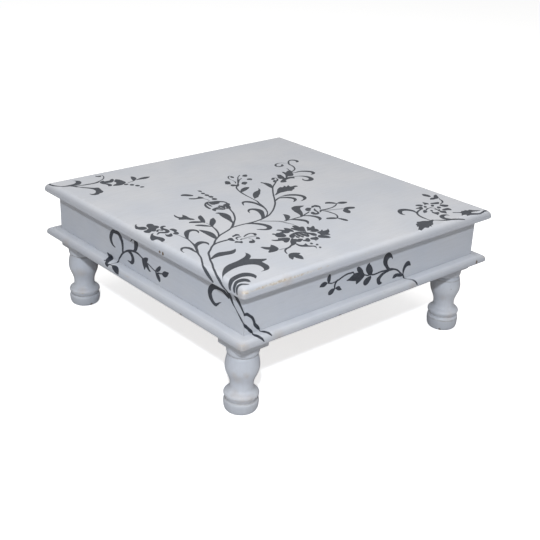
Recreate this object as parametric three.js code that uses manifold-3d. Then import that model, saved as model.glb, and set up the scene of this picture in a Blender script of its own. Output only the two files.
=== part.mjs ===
// A bajot: a low square table that stands on four short turned legs.
// Millimetres, +Z up. The origin lies on the floor under the middle of the table.
// The front is -Y and the left side is -X.
//
// How it is put together, from the floor up: each leg is turned from a square blank, and
// its spigot goes up through the mitre of the base boards into a corner block. The base
// boards are a flat mitred frame whose rounded outer edge shows as a moulding. The apron
// boards stand on that frame, set back from its edge, and the top panel lies on them. The
// cleats inside the aprons hold the top, and the base is screwed up into aprons and blocks.

import * as THREE from 'three';
import { mergeVertices } from 'three/addons/utils/BufferGeometryUtils.js';
import Module from 'manifold-3d';

const wasm = await Module();
wasm.setup();

// Top panel
const width = 400;
const top_thickness = 12.5;
const top_edge_radius = 9;
const top_arris_radius = 3;
const top_corner_radius = 5;
const corner_fade_share = 0.75;

// Apron boards
const apron_height = 48;
const apron_thickness = 10;
const apron_setback = 14;

// Base boards
const base_width = 58;
const base_thickness = 9.5;
const base_edge_radius = 6;
const base_arris_radius = 2;
const base_corner_radius = 4;

// Turned legs
const leg_height = 93;
const leg_blank = 39.2;
const leg_inset = 33.4;
const leg_flat_share = 0.97;
const spigot_radius = 6;
const spigot_bite = 20;
const spigot_chamfer = 1;

// Corner blocks and cleats
const block_side = 44;
const block_height = 28;
const block_chamfer = 14;
const cleat_width = 16;
const cleat_height = 16;

// Wood screws
const screw_radius = 1.75;
const screw_head_radius = 3.4;
const screw_head_depth = 2.2;
const screw_point_length = 3;
const top_bite_share = 0.7;
const apron_bite_share = 0.6;
const base_bite_share = 0.7;
const top_screw_place_shares = [-0.6, 0.6];
const cleat_screw_place_shares = [-0.8, 0.8];
const apron_screw_place_shares = [-0.35, 0.35];
const block_screw_far_share = 0.8;
const block_screw_near_share = 0.25;

// Glue lines and running room in bored holes
const joint_gap = 0.3;
// How far a cutter runs past the wood, and how near two points count as one
const overrun = 2;
const weld_distance = 0.0001;

// Steps of the round shapes
const edge_steps = 5;
const corner_steps = 4;
const leg_steps = 28;
const screw_steps = 8;
const bore_steps = 16;

// Heights and half sides that follow
const half = width / 2;
const base_z = leg_height;
const apron_z = base_z + base_thickness;
const top_z = apron_z + apron_height;
const leg_axis = half - leg_inset;
const apron_outer = half - apron_setback;
const apron_inner = apron_outer - apron_thickness;
const inner_corner = apron_inner - joint_gap;
const cleat_half_length = inner_corner - block_side - joint_gap;
const cleat_centre = inner_corner - cleat_width / 2;

// Finishes
const paint = () => new THREE.MeshStandardMaterial({ color: 0xc8cbd0, roughness: 0.5, metalness: 0 });
const bare_wood = () => new THREE.MeshStandardMaterial({ color: 0xb08a5c, roughness: 0.8, metalness: 0 });
const zinc = () => new THREE.MeshStandardMaterial({ color: 0xb8b8b4, roughness: 0.4, metalness: 1 });

// Joining and cutting

function solidOf(geometry) {
  const bare = geometry.clone();
  bare.deleteAttribute('normal');
  bare.deleteAttribute('uv');
  const merged = mergeVertices(bare, weld_distance);
  const corners = merged.index.array;
  const kept = [];
  for (let t = 0; t < corners.length; t += 3) {
    const [a, b, c] = [corners[t], corners[t + 1], corners[t + 2]];
    if (a !== b && b !== c && c !== a) kept.push(a, b, c);
  }
  return new wasm.Manifold(new wasm.Mesh({
    numProp: 3,
    vertProperties: Float32Array.from(merged.attributes.position.array),
    triVerts: Uint32Array.from(kept),
  }));
}

function geometryOf(solid) {
  const mesh = solid.getMesh();
  const geometry = new THREE.BufferGeometry();
  geometry.setAttribute('position', new THREE.BufferAttribute(Float32Array.from(mesh.vertProperties), 3));
  geometry.setIndex(new THREE.BufferAttribute(Uint32Array.from(mesh.triVerts), 1));
  geometry.computeVertexNormals();
  return geometry;
}

function cut(geometry, cutters) {
  let solid = solidOf(geometry);
  for (const cutter of cutters) solid = solid.subtract(solidOf(cutter));
  return geometryOf(solid);
}

// A quarter circle as [inset, height] pairs, from angle 0 (the outermost point) to 90 degrees
function quarter(radius, rising) {
  const points = [];
  for (let k = 0; k <= edge_steps; k++) {
    const angle = (Math.PI / 2) * (k / edge_steps);
    const inset = radius * (1 - Math.cos(angle));
    points.push([inset, radius * Math.sin(angle) * (rising ? 1 : -1)]);
  }
  return points;
}

// The outer edge of a board with a rounded upper edge and an eased lower one, from the
// underside up, as [inset, height] pairs
function edgeProfile(thickness, upper_radius, lower_radius) {
  const lower = quarter(lower_radius, false).reverse();
  const upper = quarter(upper_radius, true);
  return [
    ...lower.map(([inset, drop]) => [inset, lower_radius + drop]),
    ...upper.map(([inset, rise]) => [inset, thickness - upper_radius + rise]),
  ];
}

// A round stock solid about the Z axis from [radius, height] pairs that start and end on the axis
function turned(pairs, steps) {
  const points = pairs.map(([radius, height]) => new THREE.Vector2(radius, height));
  return new THREE.LatheGeometry(points, steps).rotateX(Math.PI / 2);
}

function bore(radius, low, high, x, y) {
  return turned([[0, low], [radius, low], [radius, high], [0, high]], bore_steps).translate(x, y, 0);
}

// Top panel

// One level of a square with rounded corners, counterclockwise seen from above
function squareRing(half_side, corner_radius, height) {
  const ring = [];
  for (let corner = 0; corner < 4; corner++) {
    for (let k = 0; k <= corner_steps; k++) {
      const angle = (Math.PI / 2) * (corner + k / corner_steps);
      const middle = (Math.PI / 2) * (corner + 1 / 2);
      const centre = (half_side - corner_radius) * Math.SQRT2;
      ring.push([
        centre * Math.cos(middle) + corner_radius * Math.cos(angle),
        centre * Math.sin(middle) + corner_radius * Math.sin(angle),
        height,
      ]);
    }
  }
  return ring;
}

// Closed skin over rings of equal count that lie one above the other
function loft(rings) {
  const count = rings[0].length;
  const corners = [];
  for (let level = 0; level + 1 < rings.length; level++) {
    for (let k = 0; k < count; k++) {
      const a = level * count + k;
      const b = level * count + ((k + 1) % count);
      corners.push(a, b, b + count, a, b + count, a + count);
    }
  }
  const last = (rings.length - 1) * count;
  for (let k = 1; k + 1 < count; k++) {
    corners.push(0, k + 1, k);
    corners.push(last, last + k, last + k + 1);
  }
  const geometry = new THREE.BufferGeometry();
  geometry.setAttribute('position', new THREE.Float32BufferAttribute(rings.flat(2), 3));
  geometry.setIndex(corners);
  geometry.computeVertexNormals();
  return geometry;
}

function roundedSlab(thickness, upper_radius, lower_radius, corner_radius) {
  return loft(edgeProfile(thickness, upper_radius, lower_radius).map(([inset, height]) => {
    const drawn_in = corner_radius * (1 - corner_fade_share * Math.min(1, inset / upper_radius));
    return squareRing(half - inset, drawn_in, height);
  }));
}

// Screws stand point up at their own origin, with the head's flat face at height 0

function screwProfile(length, room) {
  const shank = screw_radius + room;
  const head = screw_head_radius + room;
  const sunk = room > 0 ? -overrun : 0;
  return [
    [0, sunk], [head, sunk], [head, 0], [shank, screw_head_depth],
    [shank, length - screw_point_length + room], [0, length + room],
  ];
}

const screw = (length) => turned(screwProfile(length, 0), screw_steps);
const screwHole = (length) => turned(screwProfile(length, joint_gap), screw_steps);

const top_screw_length = cleat_height + top_bite_share * top_thickness;
const cleat_screw_length = cleat_width + joint_gap + apron_bite_share * apron_thickness;
const base_screw_length = base_thickness + base_bite_share * block_height;

// Where one side's screws sit. Each function places a screw or its hole on the front side.
const onFront = {
  top: (piece, share) => piece.translate(share * cleat_half_length, -cleat_centre, top_z - cleat_height),
  cleat: (piece, share) => piece.rotateX(Math.PI / 2)
    .translate(share * cleat_half_length, -(inner_corner - cleat_width), top_z - cleat_height / 2),
  apron: (piece, share) => piece.translate(share * half, -(apron_outer - apron_thickness / 2), base_z),
  block: (piece, side) => piece.translate(
    side * (inner_corner - block_screw_far_share * block_side),
    -(inner_corner - block_screw_near_share * block_side),
    base_z,
  ),
};

const topHoles = () => top_screw_place_shares.map((s) => onFront.top(screwHole(top_screw_length), s));
const cleatHoles = () => cleat_screw_place_shares.map((s) => onFront.cleat(screwHole(cleat_screw_length), s));
const apronHoles = () => apron_screw_place_shares.map((s) => onFront.apron(screwHole(base_screw_length), s));
const blockHoles = () => [-1, 1].map((side) => onFront.block(screwHole(base_screw_length), side));

const quarterTurn = (piece, turns) => piece.rotateZ((Math.PI / 2) * turns);

function topPanel() {
  const holes = [0, 1, 2, 3].flatMap((turns) => topHoles().map((hole) => quarterTurn(hole, turns)));
  const slab = roundedSlab(top_thickness, top_edge_radius, top_arris_radius, top_corner_radius);
  return cut(slab.translate(0, 0, top_z), holes);
}

// Mitred boards: a section of [inset, height] pairs, drawn along X on the front side

function mitredBoard(section, outer, z) {
  const shape = new THREE.Shape(section.map(([inset, height]) => new THREE.Vector2(inset, height)));
  const geometry = new THREE.ExtrudeGeometry(shape, { depth: 1, steps: 1, bevelEnabled: false });
  const position = geometry.attributes.position;
  for (let k = 0; k < position.count; k++) {
    const inset = position.getX(k);
    const end = position.getZ(k) > 0 ? 1 : -1;
    const reach = outer - inset - joint_gap * Math.SQRT1_2;
    position.setXYZ(k, end * reach, inset - outer, position.getY(k) + z);
  }
  geometry.computeVertexNormals();
  return geometry;
}

function apronBoard() {
  const section = [[0, 0], [apron_thickness, 0], [apron_thickness, apron_height], [0, apron_height]];
  return cut(mitredBoard(section, apron_outer, apron_z), [...apronHoles(), ...cleatHoles()]);
}

function baseBoard() {
  const edge = edgeProfile(base_thickness, base_edge_radius, base_arris_radius);
  const section = [...edge, [base_width, base_thickness], [base_width, 0]].reverse();
  const spigots = [-1, 1].map((side) => bore(
    spigot_radius + joint_gap, base_z - overrun, apron_z + overrun, side * leg_axis, -leg_axis,
  ));
  const board = cut(mitredBoard(section, half, base_z), [...spigots, ...apronHoles(), ...blockHoles()]);
  const corner_ring = (height) => squareRing(half, base_corner_radius, height);
  const rounded = loft([corner_ring(base_z - overrun), corner_ring(apron_z + overrun)]);
  return geometryOf(solidOf(board).intersect(solidOf(rounded)));
}

// Legs

// The turning as stretches of [share of the leg's height, share of half the blank]. A stretch
// of two points is straight, and a longer one is a smooth curve.
const turning_shares = {
  pad: [[0, 0], [0, 0.765]],
  foot: [[0, 0.765], [0.011, 0.86], [0.038, 0.94], [0.081, 0.985], [0.124, 0.97], [0.158, 0.93], [0.171, 0.855]],
  neck: [[0.171, 0.855], [0.186, 0.88]],
  undercut: [[0.186, 0.88], [0.242, 0.98]],
  flare: [[0.242, 0.98], [0.252, 0.99], [0.268, 0.95], [0.29, 0.83], [0.309, 0.715], [0.323, 0.68]],
  bulb: [[0.323, 0.68], [0.384, 0.7], [0.438, 0.785], [0.489, 0.89], [0.53, 0.955], [0.586, 0.988],
    [0.634, 0.98], [0.688, 0.945], [0.726, 0.9], [0.742, 0.835]],
  groove: [[0.742, 0.835], [0.763, 0.885]],
  collar: [[0.763, 0.885], [0.785, 0.955], [0.812, 0.988], [0.847, 0.99]],
};
const pommel_z = leg_height * turning_shares.collar.at(-1)[0];

function turnedProfile() {
  const pairs = [];
  for (const stretch of Object.values(turning_shares)) {
    const points = stretch.map(([rise, reach]) => new THREE.Vector2(reach * leg_blank / 2, rise * leg_height));
    const drawn = points.length > 2 ? new THREE.SplineCurve(points).getPoints(points.length) : points;
    drawn.slice(pairs.length ? 1 : 0).forEach((point) => pairs.push([point.x, point.y]));
  }
  const spigot_top = leg_height + base_thickness + spigot_bite;
  const [collar_radius] = pairs.at(-1);
  return [
    ...pairs,
    [collar_radius, pommel_z + overrun],
    [spigot_radius, pommel_z + overrun],
    [spigot_radius, spigot_top - spigot_chamfer],
    [spigot_radius - spigot_chamfer, spigot_top],
    [0, spigot_top],
  ];
}

function turnedLeg() {
  const full_height = leg_height + base_thickness + spigot_bite;
  const flats = new THREE.BoxGeometry(leg_blank * leg_flat_share, leg_blank * leg_flat_share, 3 * full_height);
  const pommel_height = leg_height - pommel_z;
  const pommel = new THREE.BoxGeometry(leg_blank, leg_blank, pommel_height)
    .translate(0, 0, pommel_z + pommel_height / 2);
  const stem = solidOf(turned(turnedProfile(), leg_steps)).intersect(solidOf(flats));
  return geometryOf(stem.add(solidOf(pommel)));
}

// Corner blocks and cleats

function cornerBlock() {
  const near = -inner_corner;
  const far = near + block_side;
  const outline = [[near, near], [far, near], [far, far - block_chamfer], [far - block_chamfer, far], [near, far]];
  const shape = new THREE.Shape(outline.map(([x, y]) => new THREE.Vector2(x, y)));
  const block = new THREE.ExtrudeGeometry(shape, { depth: block_height, steps: 1, bevelEnabled: false });
  const spigot = bore(spigot_radius + joint_gap, apron_z - overrun, apron_z + block_height + overrun, -leg_axis, -leg_axis);
  const from_front = onFront.block(screwHole(base_screw_length), -1);
  const from_left = quarterTurn(onFront.block(screwHole(base_screw_length), 1), -1);
  return cut(block.translate(0, 0, apron_z), [spigot, from_front, from_left]);
}

function cleat() {
  const bar = new THREE.BoxGeometry(2 * cleat_half_length, cleat_width, cleat_height)
    .translate(0, -cleat_centre, top_z - cleat_height / 2);
  return cut(bar, [...topHoles(), ...cleatHoles()]);
}

// The assembly

const table = new THREE.Group();

function place(name, geometry, material, turns = 0) {
  const mesh = new THREE.Mesh(geometry, material);
  mesh.name = name;
  mesh.rotation.z = (Math.PI / 2) * turns;
  table.add(mesh);
}

place('top_panel', topPanel(), paint());

['front', 'right', 'back', 'left'].forEach((side, turns) => {
  place(`apron_${side}`, apronBoard(), paint(), turns);
  place(`base_board_${side}`, baseBoard(), paint(), turns);
  place(`cleat_${side}`, cleat(), bare_wood(), turns);
});

['front_left', 'front_right', 'back_right', 'back_left'].forEach((corner, turns) => {
  place(`leg_${corner}`, turnedLeg().translate(-leg_axis, -leg_axis, 0), paint(), turns);
  place(`corner_block_${corner}`, cornerBlock(), bare_wood(), turns);
});

// Screws, drawn on the front side and turned to the other three
['front', 'right', 'back', 'left'].forEach((side, turns) => {
  top_screw_place_shares.forEach((share, k) => {
    place(`top_screw_${side}_${k + 1}`, onFront.top(screw(top_screw_length), share), zinc(), turns);
  });
  cleat_screw_place_shares.forEach((share, k) => {
    place(`cleat_screw_${side}_${k + 1}`, onFront.cleat(screw(cleat_screw_length), share), zinc(), turns);
  });
  apron_screw_place_shares.forEach((share, k) => {
    place(`apron_screw_${side}_${k + 1}`, onFront.apron(screw(base_screw_length), share), zinc(), turns);
  });
  [-1, 1].forEach((end, k) => {
    place(`block_screw_${side}_${k + 1}`, onFront.block(screw(base_screw_length), end), zinc(), turns);
  });
});

export default table;
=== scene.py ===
import math

import bmesh
import bpy
import numpy as np
from mathutils import Matrix, Vector, noise
from mathutils.geometry import delaunay_2d_cdt, tessellate_polygon


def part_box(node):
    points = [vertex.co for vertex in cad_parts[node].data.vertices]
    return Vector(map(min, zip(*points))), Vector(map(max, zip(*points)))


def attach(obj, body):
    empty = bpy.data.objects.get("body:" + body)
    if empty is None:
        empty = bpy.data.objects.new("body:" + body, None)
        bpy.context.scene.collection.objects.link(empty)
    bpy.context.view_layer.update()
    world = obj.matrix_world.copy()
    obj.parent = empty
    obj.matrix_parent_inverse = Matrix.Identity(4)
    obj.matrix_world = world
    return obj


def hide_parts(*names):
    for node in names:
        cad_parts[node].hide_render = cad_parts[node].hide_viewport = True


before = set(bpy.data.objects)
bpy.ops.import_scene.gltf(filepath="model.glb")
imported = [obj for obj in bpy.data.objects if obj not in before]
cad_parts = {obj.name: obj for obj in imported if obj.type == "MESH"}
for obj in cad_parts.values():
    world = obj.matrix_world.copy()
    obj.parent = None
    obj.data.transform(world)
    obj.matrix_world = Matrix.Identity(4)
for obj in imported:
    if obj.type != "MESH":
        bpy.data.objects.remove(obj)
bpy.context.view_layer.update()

# Turned legs
# Each leg is turned from a square hardwood blank and painted. The top is left square and
# carries the base boards, and a spigot on it goes up through them into a corner block.

mm = 0.001

leg_low, leg_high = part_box("leg_front_left")
blank = leg_high.x - leg_low.x
leg_axis = -(leg_low.x + leg_high.x) / 2
leg_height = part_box("base_board_front")[0].z
spigot_radius = 6 * mm
spigot_chamfer = 1 * mm
profile_step = 0.6 * mm
leg_turns = 96
crease_fillings = 3

# Stretches of the turning from the floor up, as (share of the height, share of half the blank)
turning_shares = {
    "foot": [(0, 0.84), (0.011, 0.905), (0.038, 0.965), (0.081, 1), (0.12, 1.01), (0.143, 0.985),
             (0.153, 0.87)],
    "undercut": [(0.153, 0.87), (0.163, 0.905), (0.19, 0.96), (0.212, 1.02)],
    "flare": [(0.212, 1.02), (0.236, 0.995), (0.255, 0.905), (0.272, 0.775), (0.287, 0.715), (0.308, 0.69),
              (0.338, 0.68)],
    "bulb": [(0.338, 0.68), (0.384, 0.7), (0.438, 0.785), (0.489, 0.89), (0.53, 0.955), (0.586, 0.988),
             (0.634, 0.97), (0.688, 0.925), (0.726, 0.875), (0.742, 0.805)],
    "groove": [(0.742, 0.805), (0.75, 0.875)],
    "collar": [(0.75, 0.875), (0.766, 0.92), (0.8, 0.94), (0.847, 0.95)],
}
# The flat cut under the four corners of the square, and the rings across the square's flat head
shoulder_shares = [(0.852, 1.05), (0.855, 1.43), (1, 1.43)]
head_shares = (0.985, 0.96, 0.8, 0.6, 0.4)
# The turned part stays a hair inside the blank's faces, and the square's corners are a little round
turned_below = leg_height * turning_shares["collar"][-1][0]
turned_share = 0.995
square_sharpness = 40
# Creases hold dirt and painted shade, and paint rubs off the ridges and the square's corners, at shares of
# the height
crease_shares = [0.153, 0.742]
ridge_shares = [0.0, 0.212]
crease_spread = 0.009
ridge_spread = 0.014
corners_from = 0.87
corner_spread = 0.12
most_dirt_and_shade = 0.5
most_rub = 0.55
# Knocks and stains are centred this far from a leg's axis
marks_reach = blank / 2 * 0.95
# Above this share of the height only the spigot is left, which stands true
spigot_from = 1.001
# Shares of the height between which a leg's ring, and then its bulb, are lifted
lift_shares = [0, 0.05, 0.15, 0.34, 0.5, 0.86, 1]
# Hand-worked wood lies 0.12 to 0.26 mm inside its nominal face, in slow waves
planed_depth = 0.19 * mm
planed_swing = 0.07 * mm
planed_wave = 34 * mm
# Edges that turn more than this stay sharp
sharp_edge = math.radians(48)


def bend(before, start, end, after, step):
    # New points about every step on the smooth curve from start to end, without start itself
    steps = [start - before, end - start, after - end]
    spans = [math.sqrt(np.linalg.norm(way[:2])) for way in steps]
    slopes = [way / span for way, span in zip(steps, spans)]
    leave = (slopes[0] - (end - before) / (spans[0] + spans[1]) + slopes[1]) * spans[1]
    arrive = (slopes[1] - (after - start) / (spans[1] + spans[2]) + slopes[2]) * spans[1]
    pieces = max(1, math.ceil(np.linalg.norm(steps[1][:2]) / step))
    made = []
    for k in range(1, pieces + 1):
        t = k / pieces
        made.append((2 * t ** 3 - 3 * t ** 2 + 1) * start + (t ** 3 - 2 * t ** 2 + t) * leave
                    + (3 * t ** 2 - 2 * t ** 3) * end + (t ** 3 - t ** 2) * arrive)
    return made


def smooth_line(points, step):
    # A smooth curve through the points, with a new point about every step
    points = [np.array(p, float) for p in points]
    ends = [2 * points[0] - points[1]] + points + [2 * points[-1] - points[-2]]
    line = [points[0]]
    for before, start, end, after in zip(ends, ends[1:], ends[2:], ends[3:]):
        line += bend(before, start, end, after, step)
    return line


def planed(point):
    # How far inside its nominal face the wood lies at this point
    return planed_depth + planed_swing * noise.noise(Vector(point) / planed_wave)


def bell(distance, spread):
    return math.exp(-((distance / spread) ** 2))


def add_node(tree, kind, inputs=None, **settings):
    made = tree.nodes.new("ShaderNode" + kind)
    for name, value in settings.items():
        setattr(made, name, value)
    for socket, value in (inputs or {}).items():
        if isinstance(value, bpy.types.NodeSocket):
            tree.links.new(value, made.inputs[socket])
        else:
            made.inputs[socket].default_value = value
    return made


def blend_colours(tree, amount, first, second):
    made = add_node(tree, "Mix", {0: amount, 6: first, 7: second}, data_type="RGBA")
    return made.outputs[2]


def map_value(tree, value, low, high, to_low, to_high):
    made = add_node(tree, "MapRange", {0: value, 1: low, 2: high, 3: to_low, 4: to_high})
    return made.outputs[0]


def calculate(tree, operation, first, second, clamp=False):
    made = add_node(tree, "Math", {0: first, 1: second}, operation=operation, use_clamp=clamp)
    return made.outputs[0]


def mottle(tree, place, scale, detail, **more):
    # A cloudy pattern from 0 to 1, with this many clouds to the metre
    made = add_node(tree, "TexNoise", {"Vector": place, "Scale": scale, "Detail": detail, **more})
    return made.outputs["Fac"]


def new_finish(name):
    # A new material, its nodes, and the place on the table that its patterns follow
    finish = bpy.data.materials.new(name)
    finish.use_nodes = True
    tree = finish.node_tree
    return finish, tree, add_node(tree, "TexCoord").outputs["Object"]


def feed_shader(tree, colour, roughness, height=None, strength=0, distance=0):
    # The finished colour, roughness and fine relief, joined to the material's own shader
    shader = tree.nodes["Principled BSDF"]
    tree.links.new(colour, shader.inputs["Base Color"])
    tree.links.new(roughness, shader.inputs["Roughness"])
    if height is not None:
        bump = add_node(tree, "Bump", {"Strength": strength, "Distance": distance, "Height": height})
        tree.links.new(bump.outputs[0], shader.inputs["Normal"])


def srgb(red, green, blue):
    # A paint colour as it is read off a colour card, 0 to 255, turned into linear light
    shares = [c / 255 for c in (red, green, blue)]
    return tuple(c / 12.92 if c < 0.04 else ((c + 0.055) / 1.055) ** 2.4 for c in shares) + (1,)


cool_paint = srgb(199, 203, 210)
plain_paint = srgb(206, 208, 212)
brushed_paint = srgb(192, 194, 197)
specks_in_paint = srgb(176, 174, 168)
# Painted shade: a grey that belts blend in to darken rounded edges and the feet
painted_edge_shade = srgb(112, 116, 122)
crease_dirt_and_painted_shade = srgb(128, 118, 102)
rubbed_paint = srgb(208, 202, 190)
rubbed_wood = srgb(172, 154, 128)
brown_stain = srgb(168, 140, 100)
chipped_wood = srgb(106, 88, 68)
stain_strength = 0.24
chip_strength = 0.95
# The outlines of chips and stains wander by so much, and brush marks and chips are so deep
ragged_by = 6 * mm
paint_relief = 0.25 * mm


def painted_wood(name, grain, chips=(), stains=(), belts=()):
    # Satin grey-white paint over wood: cloudy tone, brush marks, dirt and painted shade in creases,
    # rubbed ridges, chips down to the dark wood and soft brown stains, each given as (point, radius),
    # and level belts of painted shade or painted light, each given as (height, reach, strength, colour)
    paint, tree, place = new_finish(name)
    cloud = mottle(tree, place, 16, 3)
    speck = mottle(tree, place, 420, 3)
    crumbs = mottle(tree, place, 300, 4, Roughness=0.7)
    patch = add_node(tree, "TexNoise", {"Vector": place, "Scale": 130, "Detail": 5, "Roughness": 0.7})
    stretched = add_node(tree, "Mapping", {"Vector": place, "Scale": grain}).outputs[0]
    brush = mottle(tree, stretched, 12, 4)
    colour = blend_colours(tree, map_value(tree, cloud, 0.35, 0.65, 0, 1), cool_paint, plain_paint)
    colour = blend_colours(tree, map_value(tree, brush, 0.4, 0.75, 0, 0.35), colour, brushed_paint)
    colour = blend_colours(tree, map_value(tree, speck, 0.62, 0.75, 0, 0.25), colour, specks_in_paint)
    level = add_node(tree, "SeparateXYZ", {"Vector": place}).outputs["Z"]
    # Each belt paints shade or light into the paint at a set height
    for height, reach, strength, tint in belts:
        away = calculate(tree, "ABSOLUTE", calculate(tree, "SUBTRACT", level, height), 0)
        colour = blend_colours(tree, map_value(tree, away, 0.3 * reach, reach, strength, 0), colour, tint)
    # Brown dirt together with painted shade, in creases, under the top and along the moulding's lower edge
    dirt_and_painted_shade = add_node(tree, "Attribute", attribute_name="dirt_and_painted_shade").outputs["Fac"]
    dirt_and_shade_share = calculate(tree, "MULTIPLY", dirt_and_painted_shade, map_value(tree, patch.outputs["Fac"], 0.36, 0.62, 0.25, 1))
    colour = blend_colours(tree, dirt_and_shade_share, colour, crease_dirt_and_painted_shade)
    wear = add_node(tree, "Attribute", attribute_name="wear").outputs["Fac"]
    rubbed = calculate(tree, "ADD", wear, calculate(tree, "MULTIPLY", patch.outputs["Fac"], 0.5))
    rubbed = calculate(tree, "ADD", rubbed, calculate(tree, "MULTIPLY", crumbs, 0.6))
    rubbed = map_value(tree, rubbed, 1.0, 1.35, 0, 0.8)
    rubbed_tint = blend_colours(tree, map_value(tree, crumbs, 0.42, 0.62, 0, 1), rubbed_paint, rubbed_wood)
    colour = blend_colours(tree, rubbed, colour, rubbed_tint)
    ragged = {0: patch.outputs["Color"], 1: (0.5, 0.5, 0.5)}
    ragged = add_node(tree, "VectorMath", ragged, operation="SUBTRACT")
    ragged = add_node(tree, "VectorMath", {0: ragged.outputs[0], "Scale": ragged_by}, operation="SCALE")
    near = add_node(tree, "VectorMath", {0: place, 1: ragged.outputs[0]}, operation="ADD").outputs[0]
    depth = calculate(tree, "MULTIPLY", rubbed, 0.6)
    kinds = ((stains, 1.0, stain_strength, brown_stain), (chips, 0.25, chip_strength, chipped_wood))
    for marks, edge, strength, tint in kinds:
        for point, radius in marks:
            away = add_node(tree, "VectorMath", {0: near, 1: point}, operation="DISTANCE").outputs["Value"]
            spot = map_value(tree, away, radius * (1 - edge), radius, strength, 0)
            colour = blend_colours(tree, spot, colour, tint)
            if edge < 1:
                depth = calculate(tree, "MAXIMUM", depth, spot)
    fine = calculate(tree, "MULTIPLY", speck, 0.2)
    height = calculate(tree, "ADD", calculate(tree, "MULTIPLY", brush, 0.5), fine)
    height = calculate(tree, "SUBTRACT", height, depth)
    feed_shader(tree, colour, map_value(tree, cloud, 0.3, 0.7, 0.4, 0.52), height, 0.35, paint_relief)
    return paint


def put_in_scene(name, data):
    made = bpy.data.objects.new(name, data)
    bpy.context.scene.collection.objects.link(made)
    return made


def make_piece(name, points, faces, finishes, marks):
    # One closed painted mesh, with its normals turned outwards and its sharp edges kept. The marks
    # say how worn it is, and how much dirt and painted shade it has, at each point.
    mesh = bpy.data.meshes.new(name)
    mesh.from_pydata([tuple(p) for p in points], [], faces)
    for mark, values in marks.items():
        mesh.attributes.new(mark, "FLOAT", "POINT").data.foreach_set("value", values)
    work = bmesh.new()
    work.from_mesh(mesh)
    bmesh.ops.recalc_face_normals(work, faces=work.faces)
    work.to_mesh(mesh)
    work.free()
    for finish in finishes:
        mesh.materials.append(finish)
    mesh.shade_smooth()
    mesh.set_sharp_from_angle(angle=sharp_edge)
    piece = put_in_scene(name, mesh)
    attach(piece, "root")
    return piece


def joined_rings(rings, count):
    # The faces between each closed ring of points and the next one
    faces = []
    for first in range(0, (rings - 1) * count, count):
        for k in range(count):
            after = first + (k + 1) % count
            faces.append((first + k, after, after + count, first + k + count))
    return faces


def turned_stretch(shares):
    # A smooth stretch of the leg's half outline, as [radius, height]
    return smooth_line([(reach * blank / 2, rise * leg_height) for rise, reach in shares], profile_step)


def leg_path():
    # The leg's half outline as [radius, height], with its creases filled a little by paint
    path = []
    for shares in turning_shares.values():
        drawn = turned_stretch(shares)
        path += drawn[1:] if path else drawn
    path = np.array(path + turned_stretch(shoulder_shares))
    for _ in range(crease_fillings):
        path[1:-1] = (path[:-2] + 2 * path[1:-1] + path[2:]) / 4
    corner = blank / 2 * shoulder_shares[-1][1]
    head = [(share * corner, leg_height) for share in head_shares]
    spigot = [(spigot_radius, leg_height), (spigot_radius, leg_high.z - spigot_chamfer),
              (spigot_radius - spigot_chamfer, leg_high.z)]
    return np.vstack([path, head, spigot])


def square_reach(angle, half_width):
    # Distance from the axis to the side of a square with slightly rounded corners
    power = square_sharpness
    return half_width * (abs(math.cos(angle)) ** power + abs(math.sin(angle)) ** power) ** (-1 / power)


def turned_leg(name, x, y, leans, lifts, finish):
    # The leg stands a little out of true: leans is (shift at its top, further shift at its foot),
    # and lifts say how far its ring and its bulb are turned above or below the common height
    path = leg_path()
    ring_lift, bulb_lift = lifts[0] * mm, lifts[1] * mm
    rises = [0, 0, ring_lift, ring_lift, bulb_lift, bulb_lift, 0]
    path[:, 1] += np.interp(path[:, 1] / leg_height, lift_shares, rises)
    points, wear, dirt_and_painted_shade = [], [], []
    for radius, height in path:
        share = height / leg_height
        shift = (Vector(leans[0]) + Vector(leans[1]) * (1 - share)) * mm
        if share > spigot_from:
            shift = Vector((0, 0))
        half_width = blank / 2 * (turned_share if height < turned_below else 1)
        on_ridge = max(bell(share - ridge, ridge_spread) for ridge in ridge_shares)
        in_crease = max(bell(share - crease, crease_spread) for crease in crease_shares)
        for k in range(leg_turns):
            angle = 2 * math.pi * k / leg_turns
            reach = min(radius, square_reach(angle, half_width))
            reach -= planed((x + reach * math.cos(angle), y + reach * math.sin(angle), height))
            skin_x, skin_y = x + shift.x + reach * math.cos(angle), y + shift.y + reach * math.sin(angle)
            points.append((skin_x, skin_y, height))
            on_corner = bell(abs(math.cos(2 * angle)), corner_spread) if share > corners_from else 0
            wear.append(most_rub * max(on_ridge, on_corner))
            dirt_and_painted_shade.append(most_dirt_and_shade * in_crease)
    faces = joined_rings(len(path), leg_turns)
    foot_shift = (Vector(leans[0]) + Vector(leans[1])) * mm
    for ring, height, shift in ((0, 0.0, foot_shift), (len(path) - 1, leg_high.z, Vector((0, 0)))):
        centre = len(points)
        points.append((x + shift.x, y + shift.y, height))
        wear.append(0)
        dirt_and_painted_shade.append(0)
        first = ring * leg_turns
        faces += [(first + k, first + (k + 1) % leg_turns, centre) for k in range(leg_turns)]
    return make_piece(name, points, faces, [finish], {"wear": wear, "dirt_and_painted_shade": dirt_and_painted_shade})


def on_leg(x, y, spots):
    # Places on a leg's skin, from (angle about the leg's axis in degrees, height, radius) in mm
    places = []
    for angle, height, radius in spots:
        turn = math.radians(angle)
        place = (x + marks_reach * math.cos(turn), y + marks_reach * math.sin(turn), height * mm)
        places.append((place, radius * mm))
    return places


leg_places = {
    "front_left": (-1, -1), "front_right": (1, -1), "back_right": (1, 1), "back_left": (-1, 1),
}
# How far each leg stands out of true, and how far its ring and bulb lie off the common height, in mm
leg_leans = {
    "front_left": ((-1.7, 1.5), (-0.6, 0.6)),
    "front_right": ((-0.5, 0.4), (1.5, -1.4)),
    "back_right": ((0.5, 0.5), (-0.4, 0.6)),
    "back_left": ((-0.2, 0.1), (0.4, -0.3)),
}
leg_lifts = {"front_left": (0, 0), "front_right": (3.4, 4), "back_right": (1, 1), "back_left": (-1, 0)}
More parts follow.
